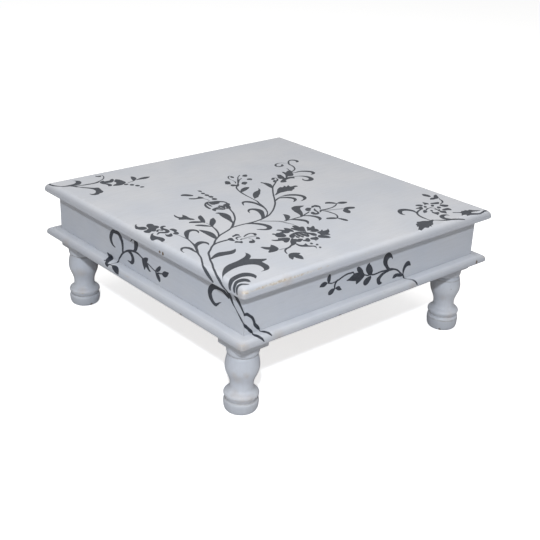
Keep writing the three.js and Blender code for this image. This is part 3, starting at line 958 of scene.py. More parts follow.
# Strokes as (x, y, width of the brush mark), with a thinner wash's strength as a fourth value. A
# place beyond the flat face runs on down the rounded edge.
top_strokes = {
    "outer stem": [(-205, -151, 2.2), (-203, -147, 3.2), (-200, -140, 3.6), (-197, -133, 3.2),
        (-195, -128, 2.2), (-190, -120, 2), (-184, -110, 2), (-180, -100, 2.2), (-175, -91, 3),
        (-170, -81, 3), (-167, -70, 1.8), (-165, -62, 1.6), (-165.5, -53, 1.3, 0.7), (-166, -46, 1.3, 0.5),
        (-167.5, -41, 1.2, 0.5)],
    "main stem": [(-207, -174, 2), (-204, -167, 2.5), (-200, -160, 3), (-197, -153, 2.5), (-194, -147, 2.3),
        (-190, -139, 2.2), (-185, -131, 2.2), (-180, -121, 2.2), (-175, -113, 2.2), (-170, -105, 2.5),
        (-163, -99, 2.2), (-157, -93.5, 2.2), (-150, -88.5, 2.2), (-145, -83.5, 2.2), (-140, -79, 2.2),
        (-134, -75, 2.2), (-128, -71.5, 2.2), (-120, -68.5, 2.2), (-110, -64.5, 2.2), (-104, -61.5, 2),
        (-95, -60.5, 2.2), (-85, -60.5, 2.2), (-78, -61.5, 3), (-70, -61.5, 2.5), (-65, -61, 2.2),
        (-58, -60, 2.5), (-50, -58, 2), (-42, -55, 2.2), (-34, -50, 2), (-25, -43.5, 2), (-15, -34.5, 2.2),
        (-8, -27.5, 2.2), (-2, -20, 2.2), (4, -12, 2), (9, -5, 2), (14, 1.5, 2), (20, 9, 2), (25, 15, 2),
        (30, 20.5, 2), (36, 25.5, 2), (42, 30, 2), (47, 34, 1.9), (52, 38, 1.7), (57, 42, 1.2)],
    "curl outwards": [(-179.5, -98, 1.5), (-179, -90, 3), (-178.5, -84, 4.5), (-180.5, -79.5, 5),
        (-184, -78, 4), (-187.5, -80, 2.5), (-190, -84, 1.5), (-190.5, -89, 0.5)],
    "curl inwards": [(-172, -87, 1.5), (-168.5, -81, 4), (-163, -77.5, 6), (-159, -76.5, 7),
        (-155.5, -79, 5), (-154.5, -83, 3), (-156, -87, 0.8)],
    "hooked curl": [(-166, -64, 1), (-163, -57, 3), (-159, -50.5, 5), (-154, -44, 6), (-149, -41, 6),
        (-144.5, -41.5, 5.5), (-141.8, -45, 4), (-142, -49, 2.5), (-144, -52.5, 0.8)],
    "upright leaf": [(-138.5, -79, 1.5), (-137.5, -74, 5), (-135.8, -66, 8), (-135.2, -60, 8.6),
        (-136, -53, 6.5), (-137.5, -47, 2.5), (-138, -45, 0.5)],
    "branch": [(-131, -72.5, 2), (-127, -67, 2), (-123.5, -60, 2.3), (-121, -53, 2), (-119.5, -47, 1.8),
        (-118, -43, 2), (-118.3, -38, 1.2, 0.5), (-118, -33, 1.2, 0.5)],
    "branch leaf 1": [(-119, -45, 2), (-115.5, -40, 5.5), (-111.5, -36, 7), (-107.5, -31.5, 7),
        (-105, -28, 5.5), (-102, -25, 2)],
    "branch leaf 2": [(-119, -46, 1.5), (-122, -42, 3.5), (-125, -38.5, 5), (-128, -35, 5), (-131, -33, 4),
        (-133, -32, 1.5)],
    "branch leaf 3": [(-119.5, -31, 1.5), (-117.5, -26, 5), (-115.5, -21, 6), (-113, -15, 6),
        (-110.5, -11, 4), (-109, -9.5, 1.5)],
    "branch leaf 4": [(-118, -30, 1.5), (-121, -27, 4.5), (-125, -24.5, 5.5), (-129, -22, 5.5),
        (-132, -21, 4), (-134, -21.5, 1)],
    "bud stem": [(-104, -61, 2.2), (-98, -56.5, 3), (-93, -51.5, 3), (-88, -47, 2), (-83, -42, 2),
        (-77, -33.5, 2.2), (-71.5, -24, 2.2), (-68, -15, 2), (-66, -11, 2.5)],
    "bud veil 1": [(-85.5, 3, 3), (-85, 9, 3.5), (-83, 15, 3), (-80, 19, 2.5), (-76, 22, 2.5), (-72, 23, 2)],
    "bud veil 2": [(-79, 8, 1.8), (-78.5, 13, 3), (-77.5, 18, 2.5), (-75, 21, 2)],
    "bud thread 1": [(-69, 24, 1.5, 0.5), (-68.5, 30, 2, 0.5), (-70, 37, 2, 0.5)],
    "bud thread 2": [(-59.5, 30, 1.5, 0.4), (-58.5, 47, 1.5, 0.4), (-58, 64, 1.5, 0.4)],
    "twig of small flower": [(-152, -90, 2.5), (-146, -88, 2.5), (-138, -87.3, 2.8), (-131, -87.5, 3)],
    "stamen 1": [(-120.5, -93, 1.5), (-119.5, -89.5, 2), (-117, -87.8, 2.5), (-113, -88.5, 2)],
    "stamen 2": [(-118, -95.5, 1.5), (-116, -94.5, 2)],
    "tendril of small flower": [(-109, -90.5, 1.5), (-105, -88.3, 2.2), (-99, -86.8, 2.2), (-96, -87.5, 2.2),
        (-94, -91, 4), (-96, -94, 3)],
    "shade of small flower": [(-115, -95, 3, 0.45), (-104, -95, 3, 0.45), (-98, -97, 3, 0.45)],
    "shade below it": [(-108, -98, 2, 0.45), (-106.8, -102, 2, 0.45)],
    "curl down": [(-82, -61, 2), (-76, -64, 4), (-70, -70, 5.5), (-67, -76, 6), (-66, -82, 6.5),
        (-68, -86.5, 6), (-72.5, -88.5, 5), (-77, -87, 3.5), (-81, -83.5, 2.5), (-83.5, -82.5, 1)],
    "twig of big flower": [(-62, -64, 2.5, 0.6), (-55, -69.5, 2.5, 0.6), (-48, -74.5, 3, 0.6),
        (-43, -80, 3.5, 0.7), (-41.5, -86, 3, 0.6), (-39.5, -91, 2, 0.6), (-38, -95, 1.5, 0.6)],
    "lower branch": [(-38, -79.5, 2), (-30, -80.5, 2), (-22, -80.5, 2), (-14, -80.5, 2), (-9, -79.5, 2),
        (-3, -77, 2), (3, -75, 2), (6, -73.5, 1.5)],
    "lower leaf": [(-37, -80.5, 1.5), (-32, -76.5, 4.5), (-28, -72.5, 6.5), (-25.5, -68.5, 6.5),
        (-25.3, -64.5, 3.5), (-26, -62.5, 1)],
    "lower curl 1": [(-30, -80.5, 2), (-24.5, -85, 4.5), (-20.5, -89.5, 6), (-18.5, -94, 5.5),
        (-19.5, -98.5, 3.5), (-23, -103, 0.8)],
    "lower curl 2": [(-10, -80, 1.5), (-5, -82, 3), (-1, -86.5, 4.5), (1.5, -92, 5.5), (1.5, -96.5, 5),
        (-1, -100, 3), (-4, -101.5, 1)],
    "foot of big flower": [(-102.5, -155, 1.2), (-101, -151, 2), (-98, -147, 2), (-94, -144.5, 2.8),
        (-88, -143, 2.5), (-84, -140.8, 2.4), (-82, -140.3, 3), (-78, -138, 5.5), (-74, -133.5, 7),
        (-71.5, -130, 5), (-69, -126.5, 2.5)],
    "shade of its foot": [(-102, -142.5, 2, 0.45), (-97, -142.5, 2.4, 0.45), (-93, -143.5, 2, 0.45)],
    "round curl": [(-57, -60, 1.5), (-52, -56, 4), (-48, -51, 5), (-44.5, -45, 6), (-41.5, -39, 7.5),
        (-41, -34, 7.5), (-43, -29.5, 6.5), (-47, -27, 4.5), (-51, -28.5, 3), (-54, -32, 2),
        (-55.5, -36, 0.5)],
    "upper curl": [(-30, -33, 1.5), (-28.5, -26, 3), (-28, -19, 4), (-28.5, -12, 5), (-30.5, -7, 6),
        (-34, -3, 5.5), (-38, -2.5, 4), (-41, -5, 2.5), (-43.5, -9, 1.5), (-45, -12, 0.4)],
    "upper stem": [(-52, -58.5, 2), (-47, -56, 2), (-43, -53, 1.8), (-38, -48, 1.5), (-34, -42, 1.8),
        (-31, -36, 2.2), (-28.5, -29, 3), (-26.5, -22, 3.5), (-24, -15.5, 2), (-21.5, -9, 2), (-21, -3, 1.3),
        (-20, 5, 1.5), (-19.5, 12, 2), (-18.5, 20, 2.2), (-17.5, 26, 2.5), (-16, 32, 2.2), (-14, 38, 2),
        (-11, 44, 2), (-7, 49, 2.2), (-3, 51, 3), (0, 53.5, 1.5)],
    "outer pair curl": [(-1, -20.5, 2), (4, -17.5, 2.5), (9, -15.5, 3, 0.8), (15, -13.5, 3, 0.6),
        (22, -13, 4), (29, -15.5, 5.5), (35, -20, 6), (38, -26, 6), (37, -32, 5), (33, -36.5, 3.5),
        (28, -38.5, 2), (24, -39.5, 0.6)],
    "inner pair curl": [(10, -16.5, 2), (15, -18, 4), (20, -21.5, 5.5), (23, -26.5, 5.5), (22, -31, 4.5),
        (18.5, -34.5, 2.5), (14, -36.5, 0.8)],
    "berry stem 1": [(-4, 50, 2.5), (0, 55, 2.1), (6, 61, 1.8), (12, 67, 1.7), (19, 71, 1.5)],
    "berry stem 2": [(2, 57, 1.8), (8, 65, 1.8), (13, 71, 1.8), (18, 77, 1.5), (26, 83, 1.2)],
    "berry stem 3": [(0, 60, 1.5), (3, 64, 1.5), (4, 72, 1, 0.5), (4.5, 79, 1.5), (8, 85, 1.8),
        (12, 87.5, 1.2), (14, 84, 1)],
    "fine line 1": [(49, 35, 1.2), (56, 42, 1.2), (58, 45, 1.2)],
    "fine line 2": [(52, 36, 1.2), (57, 41, 1.2)],
    "far curl": [(80, 37, 2.5, 0.5), (88, 35.5, 2.5, 0.7), (94, 31, 4), (96.8, 25, 5.5), (96, 19, 6.5),
        (92, 15, 6.5), (87, 14.5, 5.5), (83.5, 17.5, 4), (83.5, 21, 2.5), (85.5, 24, 1)],
    "farthest curl": [(90, 51, 2, 0.5), (96, 49.5, 2), (102, 49.5, 3), (108, 47.5, 4.5), (113, 43.5, 5.5),
        (116, 38.5, 5.5), (114.5, 34, 5), (111, 31.5, 3), (107, 31, 1)],
    "far tendril": [(93, 54.5, 2), (99, 57, 2), (105, 61, 2), (109.5, 67.5, 2.2), (112, 74, 2.5),
        (112.5, 79, 2.5), (114.5, 84, 2.5), (118, 88.5, 2.5), (122, 92.5, 2), (127, 94.5, 3),
        (131.5, 92.5, 4.5), (133, 88, 4.5), (131, 84.5, 4), (128.5, 83, 1.5)],
    "far tendril's curl": [(113, 86, 1, 0.5), (110, 91, 1.8, 0.5), (104, 93.5, 2.5, 0.6), (98, 92, 2.5),
        (94, 88.5, 3), (92.5, 85, 3), (94, 82, 3), (98, 81, 3), (101.5, 82.5, 4), (104, 86, 2)],
    "tail of lower flower": [(29, -68, 2), (26.5, -71, 1.8), (23.5, -75, 1)],
    "stem of lower flower": [(16.5, -82, 1.5), (19, -80, 2.5), (22, -78.5, 3.5), (28, -79, 2.5),
        (35, -79, 2.2), (41, -78.5, 2), (47, -76.5, 2), (52, -73.5, 1.6), (55, -71.5, 1.5)],
    "drop below it": [(22, -80, 2, 0.6), (25, -86, 2.5), (26, -92, 2.5), (26.5, -97, 2), (24.5, -103, 2),
        (20.5, -107.5, 2), (18.5, -109, 1)],
    "shade beside it": [(24, -81, 3, 0.45), (35, -85, 3, 0.45), (48, -89.5, 3, 0.45)],
    "edge comma": [(-204, -190, 1.5), (-197, -186.5, 3), (-192, -187.2, 3.5), (-187.5, -190.5, 2.5),
        (-186, -191.5, 1)],
    "side flower arch": [(-179, -22.5, 2.5), (-175.5, -19, 2.5), (-172.5, -22.5, 2.5)],
    "left sprig start": [(-196.5, 193, 2), (-196, 190, 2), (-195, 183, 2), (-192, 176, 2),
        (-188, 171.5, 2.5), (-180, 170.2, 4), (-173, 170.2, 5), (-168, 171, 7.5), (-163.8, 175, 7),
        (-162.5, 179, 5), (-164.5, 182.5, 2)],
    "left sprig join": [(-181, 170, 3), (-177, 166, 3.5), (-174, 160.5, 3.5)],
    "left sprig twig 1": [(-174, 166, 2, 0.6), (-166, 162.5, 2.5), (-158, 161.5, 3), (-150, 161, 3),
        (-144, 162, 3.5), (-139, 165, 1.5), (-133, 168, 1.8), (-128, 173, 1.5), (-125, 179, 1.2),
        (-124.5, 184, 0.8)],
    "left sprig cup": [(-136, 162, 3), (-140, 160.5, 2.5), (-142, 157, 2), (-141, 152.5, 2.5),
        (-138, 149.5, 3)],
    "left sprig twig 2": [(-113, 139, 1), (-108, 139.5, 2, 0.6), (-103, 141, 1.5)],
    "left sprig leaf 2": [(-98, 142.5, 1.5), (-93, 143, 4), (-88, 143.2, 6.5), (-84, 143.2, 7),
        (-80, 143.5, 5), (-77, 143.5, 1.5)],
    "right sprig stem": [(108, -180, 2.5, 0.6), (113, -183, 2.5, 0.8), (118, -187, 2.7), (124, -190, 3),
        (130, -191.5, 3.5), (137, -194, 2.5), (143, -196, 1.8), (148.5, -198, 1)],
    "right sprig curl": [(130, -191, 3), (127, -188, 5), (125, -184, 5.5), (126.5, -179.5, 6),
        (130, -176.8, 5.5), (134, -176.5, 4.5), (137, -178, 3), (138.5, -181, 0.8)],
    "right sprig stem 2": [(106, -178, 2, 0.6), (105.5, -171, 2.5), (106, -164, 3), (108, -158, 2.5),
        (112, -152.5, 2.8), (118, -149, 2.5), (124, -147, 2.5), (128, -145.5, 3)],
    "right sprig curl 2": [(112, -151, 1.5), (113.5, -145, 4.5), (111.5, -139.5, 6), (107.5, -135.5, 7),
        (102.5, -134.5, 6.5), (98, -137, 5.5), (95, -141, 4.5), (93.5, -145, 3), (95, -148, 1)],
    "right sprig tip": [(161, -148, 1.2), (166, -146.5, 1.8), (170, -144.5, 2.2), (173.5, -140, 2.5),
        (175, -136, 1.5), (177, -133, 1)],
    "right sprig foot": [(160, -191, 5), (166, -193, 4), (172, -195, 2.5), (178, -196.5, 2), (184, -196, 2),
        (190, -195, 2.2), (195, -196.5, 1)],
    "right flower arch": [(130, -152, 2), (134, -149.5, 2), (137, -149.5, 2)],
    "right flower fold 1": [(139, -149, 1), (141, -150, 2.2), (142, -152, 1)],
    "right flower fold 2": [(143, -152.5, 1), (143.8, -154.5, 2.2), (143, -156.5, 1)],
    "right flower fold 3": [(139.5, -157, 1), (141.5, -158.5, 2.2), (143.5, -158, 1)],
    "right flower link": [(147, -163, 1.5), (151, -162, 1.5)],
}
# Leaves, petals and berries as closed outlines of (x, y)
top_shapes = {
    "long leaf": [(-178, -120.5), (-177, -118), (-172, -114.5), (-165, -111), (-160, -110), (-155, -111.5),
        (-147, -113.5), (-142, -113.2), (-139, -111.8), (-141, -115.5), (-146, -120), (-151, -121.5),
        (-160, -120), (-170, -119)],
    "big hooked leaf": [(-199, -165), (-195, -160), (-190, -154), (-185, -149), (-180, -145), (-172, -141.5),
        (-160, -139.7), (-150, -137), (-145, -135), (-140, -131), (-137.5, -127), (-136.5, -131),
        (-138, -137), (-141, -140), (-145, -142.7), (-141, -145), (-135, -149.5), (-129.5, -152.5),
        (-131, -154.5), (-139, -156), (-139, -161), (-139.5, -167), (-142, -172), (-146, -175),
        (-151, -175.5), (-156, -174.8), (-151, -173.5), (-148.5, -170), (-147.5, -165), (-148, -160),
        (-150.5, -156.5), (-156, -153.3), (-165, -152), (-175, -153), (-183, -155.5), (-190, -158.5),
        (-196, -162)],
    "comma leaf 1": [(-204, -178), (-197, -172.5), (-190, -169), (-183, -167), (-177, -166.2), (-172, -167),
        (-167.5, -171), (-166, -176), (-167, -181), (-171.5, -185), (-171.5, -181), (-173, -177.5),
        (-177, -175), (-182, -174), (-188, -175), (-195, -177.5), (-204, -180)],
    "comma leaf 2": [(-204, -185), (-195, -179), (-190, -177.3), (-185, -176.7), (-181, -178), (-179, -181),
        (-179.3, -185), (-181, -188.5), (-183, -187), (-184.5, -184.5), (-188, -183), (-193, -183),
        (-204, -187)],
    "crown leaf": [(-122.5, -17), (-122, -13.5), (-124, -9), (-123.5, -2), (-124, 2), (-124.8, 5), (-126, 3),
        (-127.5, 0.5), (-130, -1.5), (-132, 0), (-133, 3), (-133, 7), (-132.5, 10.5), (-134.5, 8), (-136, 4),
        (-135.8, 0), (-135.5, -2.5), (-137.8, -6), (-134, -8.5), (-130, -11), (-126.5, -15)],
    "side flower 1": [(-185, 10.5), (-188.5, 8), (-191.5, 4), (-193.5, 0), (-193, -4), (-191, -8),
        (-187, -9.8), (-183.5, -8.5), (-182, -5), (-183.5, -1.5), (-186, 0), (-188.2, 1.2), (-188.5, 3.5),
        (-187.5, 6.5)],
    "side flower 2": [(-178, 0.5), (-175, 2.8), (-172, 2), (-170.5, -1), (-171, -5), (-169, -8),
        (-168.8, -11), (-170.5, -13.5), (-175, -15), (-177, -17), (-179, -20), (-181.5, -20.5),
        (-184, -18.5), (-185.5, -19.5), (-188.5, -20.8), (-191.5, -18.5), (-192, -15.5), (-190.5, -12.5),
        (-187, -12), (-184.5, -10.5), (-182, -9), (-180.5, -5), (-180, -2)],
    "side flower 3": [(-161.5, -14), (-163.5, -11.5), (-168, -12.5), (-170.5, -16), (-171.8, -20.5),
        (-170.5, -24), (-171, -27), (-173, -28.3), (-176, -26), (-179, -25), (-182, -27), (-185.5, -30.5),
        (-183, -30), (-179.5, -28.5), (-177, -30.5), (-174, -32.5), (-170.5, -32.5), (-167.5, -30),
        (-166, -26.5), (-166.3, -22), (-167.5, -17.5), (-165.5, -15.5), (-163, -15.5)],
    "side flower 4": [(-184.5, -23.8), (-188, -24.5), (-192, -28), (-196, -33), (-197, -37.5),
        (-195.5, -39.5), (-193.5, -40.5), (-192.3, -42), (-192, -46), (-192.5, -51), (-189, -50),
        (-185.8, -47), (-184.7, -43), (-185.5, -39), (-187.5, -35), (-188.8, -31), (-188, -27), (-186, -25)],
    "side flower 5": [(-176.5, -33.5), (-178, -37), (-178.8, -40.5), (-177.5, -43.3), (-174.5, -43.8),
        (-171.5, -41.5), (-169.7, -37), (-169.5, -35), (-172, -36.5), (-174.5, -37), (-176, -35.5)],
    "side flower 6": [(-164, -24.5), (-160.5, -24.5), (-158.5, -28), (-159, -32.5), (-161.5, -34.5),
        (-161.5, -38), (-163.5, -42), (-166.5, -42.5), (-168.5, -40), (-168, -37), (-165.5, -35.8),
        (-164.2, -34), (-164, -30), (-164.5, -27)],
    "small flower 1": [(-130, -88), (-128.5, -85.5), (-124.5, -84.5), (-122.5, -86), (-124, -90),
        (-125, -94), (-127, -94), (-129, -91.5)],
    "small flower 2": [(-120.5, -84.5), (-119, -81.3), (-115.5, -80.5), (-112, -79), (-110, -81),
        (-110.3, -84.5), (-112, -85.5), (-113.5, -83.8), (-117, -84)],
    "small flower 3": [(-129, -98.5), (-127, -96), (-124.5, -96), (-122.5, -98.5), (-119.5, -99),
        (-120.5, -102.5), (-123.5, -104.5), (-125, -101.5)],
    "small flower 4": [(-116, -108), (-114, -105), (-111.5, -104), (-109.5, -105), (-107, -102),
        (-106.5, -105), (-108.5, -109), (-111.5, -111), (-115, -110)],
    "small flower 5": [(-103, -103.5), (-100.5, -101), (-98.5, -99.5), (-97, -101.5), (-98, -105),
        (-100, -106.3)],
    "star leaf": [(-114.5, -125), (-112, -125), (-109, -128), (-106, -130.5), (-103.5, -129), (-100.5, -126),
        (-99.3, -128), (-99, -133), (-100, -138), (-103, -141.5), (-107, -143), (-111, -143.2),
        (-116.5, -142), (-116.5, -140.5), (-113, -137.5), (-111, -136), (-113.5, -133), (-114.5, -129)],
    "three lobed leaf": [(-108.5, -171), (-108.5, -166), (-106, -161.5), (-103, -158), (-99.5, -156.5),
        (-95.5, -157), (-92, -159.5), (-89.5, -162), (-91, -163.5), (-94, -164), (-93.5, -168),
        (-95.5, -173), (-98.5, -177), (-101, -173.5), (-102.5, -169), (-102.5, -166), (-105, -168.5)],
    "big flower petal 1": [(-79, -104), (-77.5, -101.8), (-75.5, -103), (-75, -105), (-72, -103.5),
        (-69, -104.5), (-67, -104), (-65, -105), (-66, -108), (-67, -111), (-68, -115), (-70, -117.3),
        (-74, -117.5), (-77.5, -115.5), (-79.5, -113), (-79, -109), (-77.8, -106.5)],
    "big flower petal 2": [(-67, -97.3), (-64.5, -96), (-62, -97.5), (-60, -100), (-58, -101.5),
        (-56.5, -98.5), (-55, -96.3), (-52.5, -98.5), (-51, -102), (-51, -106), (-52, -110), (-54, -112.5),
        (-56, -109), (-59, -110.5), (-62.5, -111), (-65, -109), (-66, -106), (-68, -104.5), (-64, -103.5),
        (-64.5, -100.5)],
    "big flower petal 3": [(-49, -101), (-47, -101.5), (-45.5, -103.5), (-44.5, -100), (-43, -97),
        (-40, -97.3), (-38.2, -97.5), (-37.8, -101), (-38, -105), (-35.5, -104.5), (-33.5, -106),
        (-34.5, -109), (-37, -112.5), (-39.5, -116.5), (-41, -119), (-43, -117.5), (-46, -115), (-48, -112),
        (-49.5, -107.5), (-50, -104)],
    "big flower petal 4": [(-38.5, -118.5), (-35, -114), (-31.5, -109.5), (-29.8, -109), (-29, -113),
        (-25, -111.5), (-22, -110.5), (-23.5, -114.5), (-26.5, -118.5), (-25.5, -121.5), (-27.5, -126),
        (-32, -126.8), (-36, -124.5), (-37.5, -121.5), (-34.5, -121), (-36, -119)],
    "big flower petal 5": [(-33.5, -129.5), (-30, -127.5), (-26, -127.5), (-23, -125.3), (-22, -126),
        (-24, -129), (-20, -129.5), (-16.5, -128.7), (-14, -126.5), (-17, -132), (-20, -135.5), (-24, -138),
        (-24.5, -140.5), (-26, -143), (-29, -141), (-33, -138), (-34.5, -136.5), (-33.5, -133)],
    "big flower petal 6": [(-41, -138.5), (-39, -136.3), (-36, -135.8), (-33, -138.5), (-30.5, -142),
        (-29.8, -145.5), (-31, -148.7), (-33.5, -149), (-37, -146.5), (-40.5, -143.5), (-42, -141)],
    "big flower petal 7": [(-53, -139), (-50.5, -136.5), (-47, -137), (-44.5, -137.5), (-43, -136),
        (-42.5, -139), (-44, -143), (-47, -145), (-50, -145.5), (-52, -147.5), (-51, -143.5), (-53, -141)],
    "big flower petal 8": [(-63, -137), (-60.5, -136.5), (-59, -137.5), (-57, -135), (-54, -134.8),
        (-52.8, -136), (-54.5, -140), (-57, -143), (-60.5, -144), (-62, -141), (-63.3, -139)],
    "big flower petal 9": [(-71.5, -131.5), (-69, -127.5), (-66.5, -129), (-65.5, -131), (-63, -130.5),
        (-60.5, -132.5), (-59.5, -134), (-62, -136), (-65, -137.5), (-68.5, -138.5), (-71.5, -135.5)],
    "big flower petal 10": [(-91.5, -117), (-90, -115.5), (-87, -118), (-84, -118.8), (-81, -116),
        (-79, -117.5), (-75, -118.5), (-71.5, -120.5), (-70, -123), (-72, -126), (-76, -129), (-79.5, -131),
        (-82.5, -131.3), (-83.5, -129), (-82, -126), (-82.5, -124.3), (-87, -122.5), (-90, -120)],
    "big flower fan": [(-68.5, -124.5), (-68, -121), (-65, -117), (-60, -115), (-54, -114), (-49, -114.5),
        (-45, -117), (-41.5, -119.5), (-42.5, -121.5), (-39.5, -125.5), (-37, -128.5), (-37.5, -133),
        (-40, -135.5), (-43, -134.5), (-44, -131), (-43.8, -128), (-44.8, -126.5), (-47, -131),
        (-50, -133.3), (-52, -131.5), (-51.5, -128.5), (-53, -128), (-55, -131), (-57.3, -130.5),
        (-57, -127), (-58.8, -127.5), (-61, -129.3), (-62.8, -127.5), (-62, -124.5), (-60.5, -122),
        (-63.5, -124), (-66, -125.5)],
    "curl below big flower": [(-76, -138.5), (-74.5, -140), (-74, -144.5), (-71.5, -147), (-69, -146.5),
        (-66, -145), (-67, -148.5), (-67.5, -151.5), (-65, -153.8), (-62.5, -156.5), (-63.5, -160),
        (-66.5, -163.5), (-65, -159.5), (-65.2, -157.5), (-68.5, -155.5), (-73, -152.5), (-76.5, -149.5),
        (-77.7, -145.5), (-77, -141.5)],
    "seed 1": [(-63.5, -150.5), (-61.5, -147), (-59.3, -147.5), (-60, -151), (-62, -151.5)],
    "seed 2": [(-60.5, -157), (-60, -155), (-57, -153), (-56, -154.5), (-58, -157.5)],
    "seed 3": [(-63, -164.5), (-61.5, -161.5), (-59.5, -161), (-59, -163), (-61.5, -165)],
    "bud leaf": [(-94, -53), (-92.5, -45), (-91.5, -38), (-91, -30), (-89.5, -22), (-88, -17), (-90, -13.5),
        (-86, -13), (-82, -17), (-80, -21), (-80, -27), (-82, -33), (-85, -38), (-88.5, -44), (-91, -50)],
    "bud petal 1": [(-86.3, -3.5), (-85, -0.5), (-81, 1), (-77, 2), (-74, 2.5), (-71.5, 4), (-69.5, 6),
        (-67.8, 3.5), (-66, 2), (-66, -1.5), (-68, -5), (-70, -8), (-73, -10.2), (-76, -8.5), (-79, -5),
        (-81.5, -4), (-83.5, -6.5), (-84.8, -8), (-86, -6)],
    "bud petal 2": [(-66, 1.5), (-63, 5), (-59.5, 5.5), (-57, 7), (-55, 4.5), (-56, 1), (-59, -1.5),
        (-60.5, -5), (-62.5, -8.5), (-65.5, -10.8), (-68, -9.8), (-70, -8.5), (-68, -6.5), (-66, -3)],
    "bud petal 3": [(-75, 12.5), (-75, 17), (-74, 20.5), (-71, 22), (-67, 21.5), (-62, 20), (-58.5, 17),
        (-55.5, 13), (-55, 9), (-56, 5), (-58, 6), (-57.5, 10), (-59, 12), (-62, 14), (-64, 12), (-66, 11),
        (-70, 11), (-73, 11)],
    "bud leaf 2": [(-86, 44), (-84.5, 47), (-81.5, 45), (-77, 42.5), (-73, 43.5), (-70.5, 46), (-69, 43),
        (-68, 39), (-69.5, 36), (-73, 37.5), (-77, 39), (-81, 40)],
    "bud leaf 3": [(-87, 59), (-86, 62), (-82, 63), (-78, 61), (-75, 57), (-73, 53), (-75, 51), (-78, 52),
        (-81, 54), (-84, 57)],
    "stem leaf 1": [(-20.5, -4.5), (-17.5, 1), (-14.5, 7), (-10, 13), (-5, 17.5), (0, 20), (5, 21.3),
        (8, 23), (10.5, 26.5), (12, 28), (10.5, 23), (8, 19), (5, 16), (0, 10.5), (-7, 5), (-10, 2),
        (-17, 0)],
    "stem leaf 2": [(-16.5, 27.5), (-14.5, 32), (-10, 36.5), (-4, 39.5), (1, 40), (5, 37.5), (0, 33.5),
        (-5, 31), (-10, 29)],
    "jagged leaf": [(10, -5), (14, -2.5), (19, 1), (24, 5.5), (28, 9.5), (32, 12.5), (36, 14.5), (38.5, 15),
        (39, 13), (42, 13.5), (45, 16.5), (46, 15.5), (45, 11.5), (48, 13), (52, 15.5), (50.5, 11),
        (50.5, 9), (54, 9), (58, 9), (60, 7), (59, 4.5), (55, 4.2), (52, 3.5), (50, 1), (47, -1.5),
        (45.5, -1), (42.5, -3.5), (40, -4), (36, -2), (30, -1.8), (25, -1.5), (20, -2.5), (14, -4.8)],
    "upright leaf": [(26, 17), (26.5, 25), (28, 32), (29, 38), (28, 42), (30, 45), (32, 41), (35, 36),
        (35.5, 31), (33.5, 26), (30.5, 21), (28, 17.5)],
    "berry 1": [(-13.5, 64), (-11, 68), (-7, 73), (-4, 73.5), (-2.5, 69), (-5, 64), (-7, 60.5), (-11, 61.5)],
    "berry 2": [(-11.5, 55), (-9, 58.5), (-6, 58), (-4, 55), (-1, 52.5), (-3, 49), (-6, 47.5), (-7, 51),
        (-10.5, 51.5)],
    "berry 3": [(4, 52), (6.5, 55.5), (10, 58), (14, 57.5), (15, 55), (13, 51.5), (9, 49.5), (6.5, 47.5),
        (5.5, 50)],
    "berry 4": [(21, 61.5), (24, 65.5), (28.5, 65), (29.5, 62), (27.5, 59), (25, 57.8), (23.5, 60)],
    "berry 5": [(25.5, 76.5), (28, 80), (32, 81), (35, 79.5), (33, 76), (31, 73.5), (28, 72.8),
        (26.5, 74.5)],
    "berry 6": [(9.5, 81), (10.5, 84.5), (13, 85), (14.5, 82.5), (12.5, 78), (11, 78)],
    "far leaf 1": [(48.5, 45), (51, 47.5), (54, 49.5), (57, 48.5), (59, 46.5), (55, 45.5), (51.5, 42.5),
        (49, 42.5)],
    "far leaf 2": [(44, 35.5), (46, 38.5), (49.5, 41), (52, 41), (50, 37), (48, 34.5), (46, 32.5),
        (44.5, 33.5)],
    "far leaf 3": [(51, 29), (53, 32), (56, 34), (59, 36), (62, 37), (62.5, 33), (61, 28.5), (58, 26.5),
        (54, 27)],
    "far petal 1": [(60, 40), (60, 44.5), (63, 49), (66, 53), (67.5, 56.5), (70, 55), (72, 53.5), (71, 48),
        (69.5, 43), (67, 39.5), (63, 39)],
    "far petal 2": [(70, 39.5), (72, 43), (75, 46.5), (77.5, 50), (79.5, 55), (80.5, 59), (82.5, 62),
        (84, 60.5), (84, 56.5), (87, 58), (90, 60.5), (94, 61), (97, 69.5), (98, 68), (96, 61), (95.5, 57),
        (94, 54), (91, 50), (88, 45), (85, 42), (80, 41), (76, 42.5), (73, 40.5)],
    "far petal 3": [(62, 38), (66, 40), (72, 40), (78, 39), (82, 37.5), (80, 34), (77, 31), (75, 33.5),
        (70, 34), (65, 33), (62, 32)],
    "lower big leaf": [(-14, -80), (-11, -76), (-9.5, -70), (-8.5, -64), (-6, -56.5), (-3, -51.5), (0, -50),
        (5, -49), (9, -50.5), (13, -52.5), (16, -54), (12, -56), (8, -56.5), (4, -60), (0, -67), (-3, -72),
        (-7, -77), (-9, -80)],
    "lower petal 1": [(5.5, -69), (7, -65.5), (10, -63), (13.5, -62), (16, -63.5), (17.5, -66),
        (14.5, -67.5), (12, -70), (9.5, -72), (6.5, -71)],
    "lower petal 2": [(17, -65), (19.5, -63.5), (22, -60.5), (25, -60.5), (28, -60), (30, -62.5),
        (30.8, -66), (28.5, -69), (25.5, -67), (23.5, -64.5), (20.5, -65.5)],
    "lower petal 3": [(3.5, -80), (5, -77.5), (8, -76), (10, -77.5), (9.5, -80.5), (11, -82), (13, -80),
        (13.5, -75.5), (15, -72), (18, -69.5), (20, -69), (18, -72), (16.5, -76), (15.5, -80), (13.5, -84),
        (10, -86), (6.5, -86), (4, -84)],
    "tip petal 1": [(42, -64), (45, -61), (49, -61), (53, -64.5), (55, -69), (54, -72), (51, -70.5),
        (48, -67.5), (45, -65.5)],
